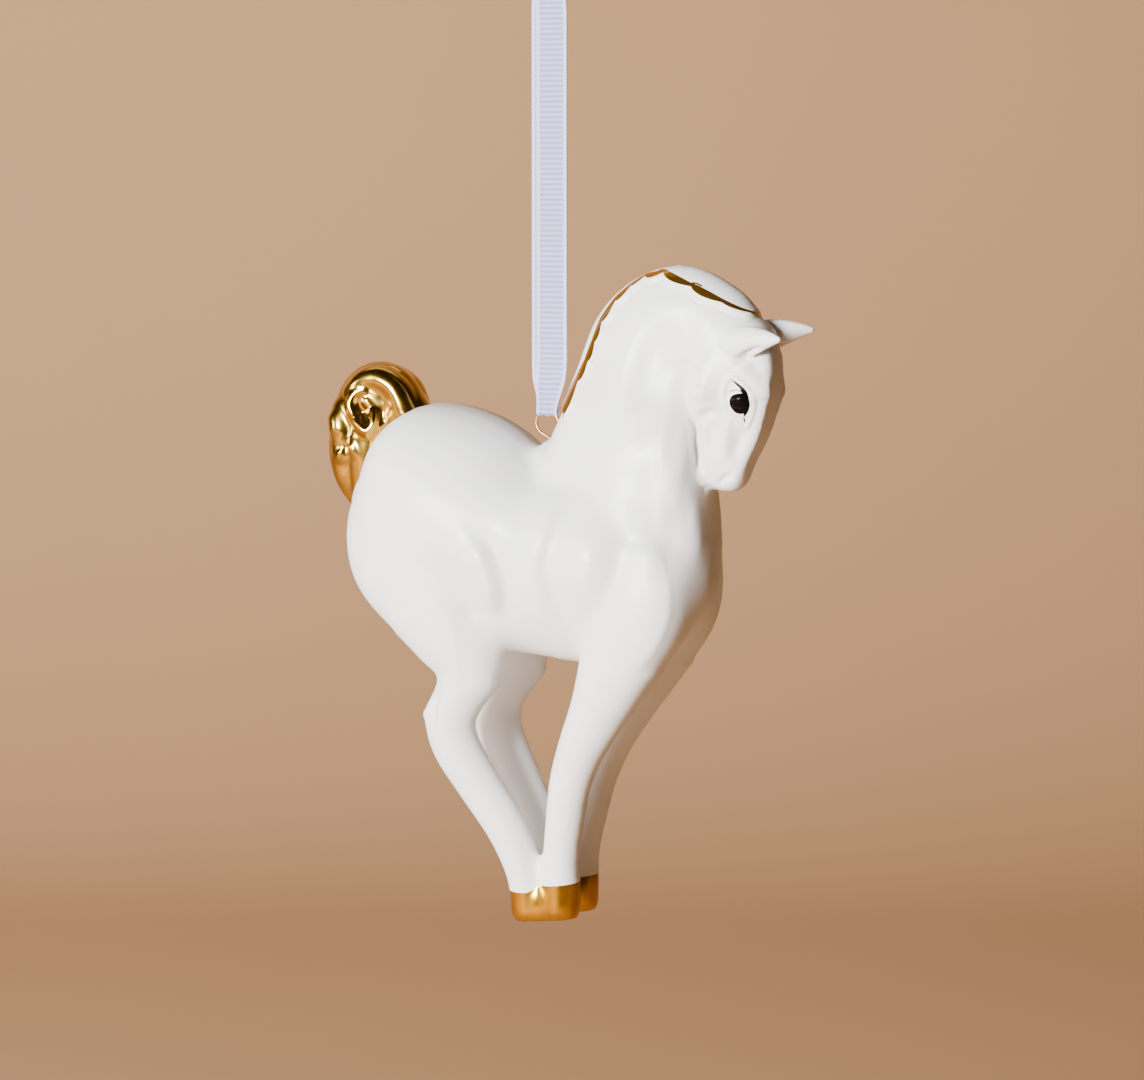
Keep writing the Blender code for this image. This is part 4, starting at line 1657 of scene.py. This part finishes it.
@dataclass
class Studio:
    """Floor, sweep, lights and camera, in metres from the hanging point.

    Attributes:
        camera_place: Where the camera stands.
        camera_target: The point at the middle of its picture.
        focal_pixels: Its focal length, in pixels of the photograph.
        camera_clip: The nearest and furthest that it sees.
        sensor: The width of its sensor, in millimetres.
        turn: How far the sweep is turned to face the camera, in degrees.
        floor_z: The floor's height.
        floor_near: How far the floor reaches towards the camera.
        paper_length: The length of the paper, over floor and wall.
        paper_width: Its width.
        sweep_start: Where the floor begins to curve up.
        sweep_radius: How round that curve is.
        lights: The lights.
        air: The colour of the light from all round.
        air_strength: How strong it is.
    """

    camera_place: tuple[float, ...] = (0.2535, -0.5330, -0.0466)
    camera_target: tuple[float, ...] = (0.0013, 0.0078, -0.1094)
    focal_pixels: float = 3260.9
    camera_clip: tuple[float, float] = (0.01, 20.0)
    sensor: float = 36.0
    turn: float = 25.0
    floor_z: float = -0.30
    floor_near: float = 0.45
    paper_length: float = 4.4
    paper_width: float = 5.0
    sweep_start: float = 0.55
    sweep_radius: float = 0.35
    lights: tuple[SoftLight, ...] = (
        SoftLight("key", (-0.16, -1.05, 0.06), 0.28, 43.0, (1.0, 0.99, 0.97)),
        SoftLight("window", (-1.00, -0.78, -0.04), 0.35, 8.0, (0.97, 0.98, 1.0)),
        SoftLight("sweep_light", (-0.25, 0.35, 0.55), 0.6, 1.5, (1.0, 0.93, 0.85),
                  (-0.6, 1.0, -0.3)),
    )
    air: tuple[float, ...] = (1.0, 0.56, 0.30, 1)
    air_strength: float = 0.03

    def aim(self, thing: bpy.types.Object, target: Sequence[float]) -> None:
        """Turns a camera or a light towards a point."""
        way = Vector(target) - thing.location
        thing.rotation_euler = way.to_track_quat("-Z", "Y").to_euler()

    def add_light(self, lamp: SoftLight) -> None:
        """Adds one light.

        Args:
            lamp: What it is like.
        """
        deselect_all()
        bpy.ops.object.light_add(type="AREA", location=lamp.place)
        light = bpy.context.active_object
        light.name = lamp.name
        light.data.size = lamp.size
        light.data.energy = lamp.watts
        light.data.color = lamp.colour
        self.aim(light, lamp.target)

    def add_sweep(self, paper: bpy.types.Material) -> None:
        """Adds the floor and the sweep that it curves up into.

        Args:
            paper: Their finish.
        """
        deselect_all()
        bpy.ops.mesh.primitive_grid_add(x_subdivisions=2, y_subdivisions=120, size=2)
        sweep = name_new("studio_sweep")
        grid = read_points(sweep.data)
        along = (grid[:, 1] + 1) / 2 * self.paper_length - self.floor_near
        bend = math.pi / 2 * self.sweep_radius
        angle = np.clip(along - self.sweep_start, 0, bend) / self.sweep_radius
        wall = np.clip(along - self.sweep_start - bend, 0, None)
        depth = np.minimum(along, self.sweep_start) + self.sweep_radius * np.sin(angle)
        height = self.floor_z + self.sweep_radius * (1 - np.cos(angle)) + wall
        across = grid[:, 0] / 2 * self.paper_width
        write_points(sweep.data, np.column_stack([across, depth, height]))
        sweep.data.transform(Matrix.Rotation(math.radians(self.turn), 4, "Z"))
        dress(sweep, paper)
        shade_round(sweep)

    def add_air(self) -> None:
        """Fills the studio with a little warm light from all round."""
        world = bpy.data.worlds.new("studio_world")
        bpy.context.scene.world = world
        world.use_nodes = True
        background = world.node_tree.nodes["Background"]
        background.inputs["Color"].default_value = self.air
        background.inputs["Strength"].default_value = self.air_strength

    def add_camera(self) -> None:
        """Adds the camera at the photograph's viewing angle."""
        deselect_all()
        bpy.ops.object.camera_add(location=self.camera_place)
        camera = bpy.context.active_object
        camera.name = "photo_camera"
        camera.data.sensor_width = self.sensor
        camera.data.lens = self.focal_pixels * self.sensor / PHOTO_SIZE[0]
        camera.data.clip_start, camera.data.clip_end = self.camera_clip
        self.aim(camera, self.camera_target)
        bpy.context.scene.camera = camera

    def build(self, paper: bpy.types.Material) -> None:
        """Builds the studio.

        Args:
            paper: The finish of the floor and the sweep.
        """
        self.add_sweep(paper)
        for lamp in self.lights:
            self.add_light(lamp)
        self.add_air()
        self.add_camera()


def report(piece: bpy.types.Object) -> None:
    """Logs a finished piece and how fine it is."""
    LOG.info("%s: %d faces", piece.name, len(piece.data.polygons))


def main() -> None:
    """Builds the ornament and its studio."""
    logging.basicConfig(level=logging.INFO, format="%(name)s: %(message)s")
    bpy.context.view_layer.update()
    Studio().build(StudioPaper().make())

    horse = HorseBody().build(GlazedPorcelain().make(), BareBiscuit().make())
    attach(horse, BODY)
    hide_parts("horse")
    report(horse)

    tail = GoldTail().build(BrightGold().make())
    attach(tail, BODY)
    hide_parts("horse")
    report(tail)

    wire = WireEye().build(CopperWire().make())
    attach(wire, BODY)
    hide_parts("wire_eye")
    report(wire)

    weave = GrosgrainWeave().make()
    ribbon_maker = Ribbon()
    ribbon = ribbon_maker.build(weave)
    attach(ribbon, BODY)
    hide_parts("ribbon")
    report(ribbon)

    knot = RibbonKnot().build(weave)
    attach(knot, BODY)
    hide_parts("ribbon_knot")
    report(knot)


if __name__ == "__main__":
    main()
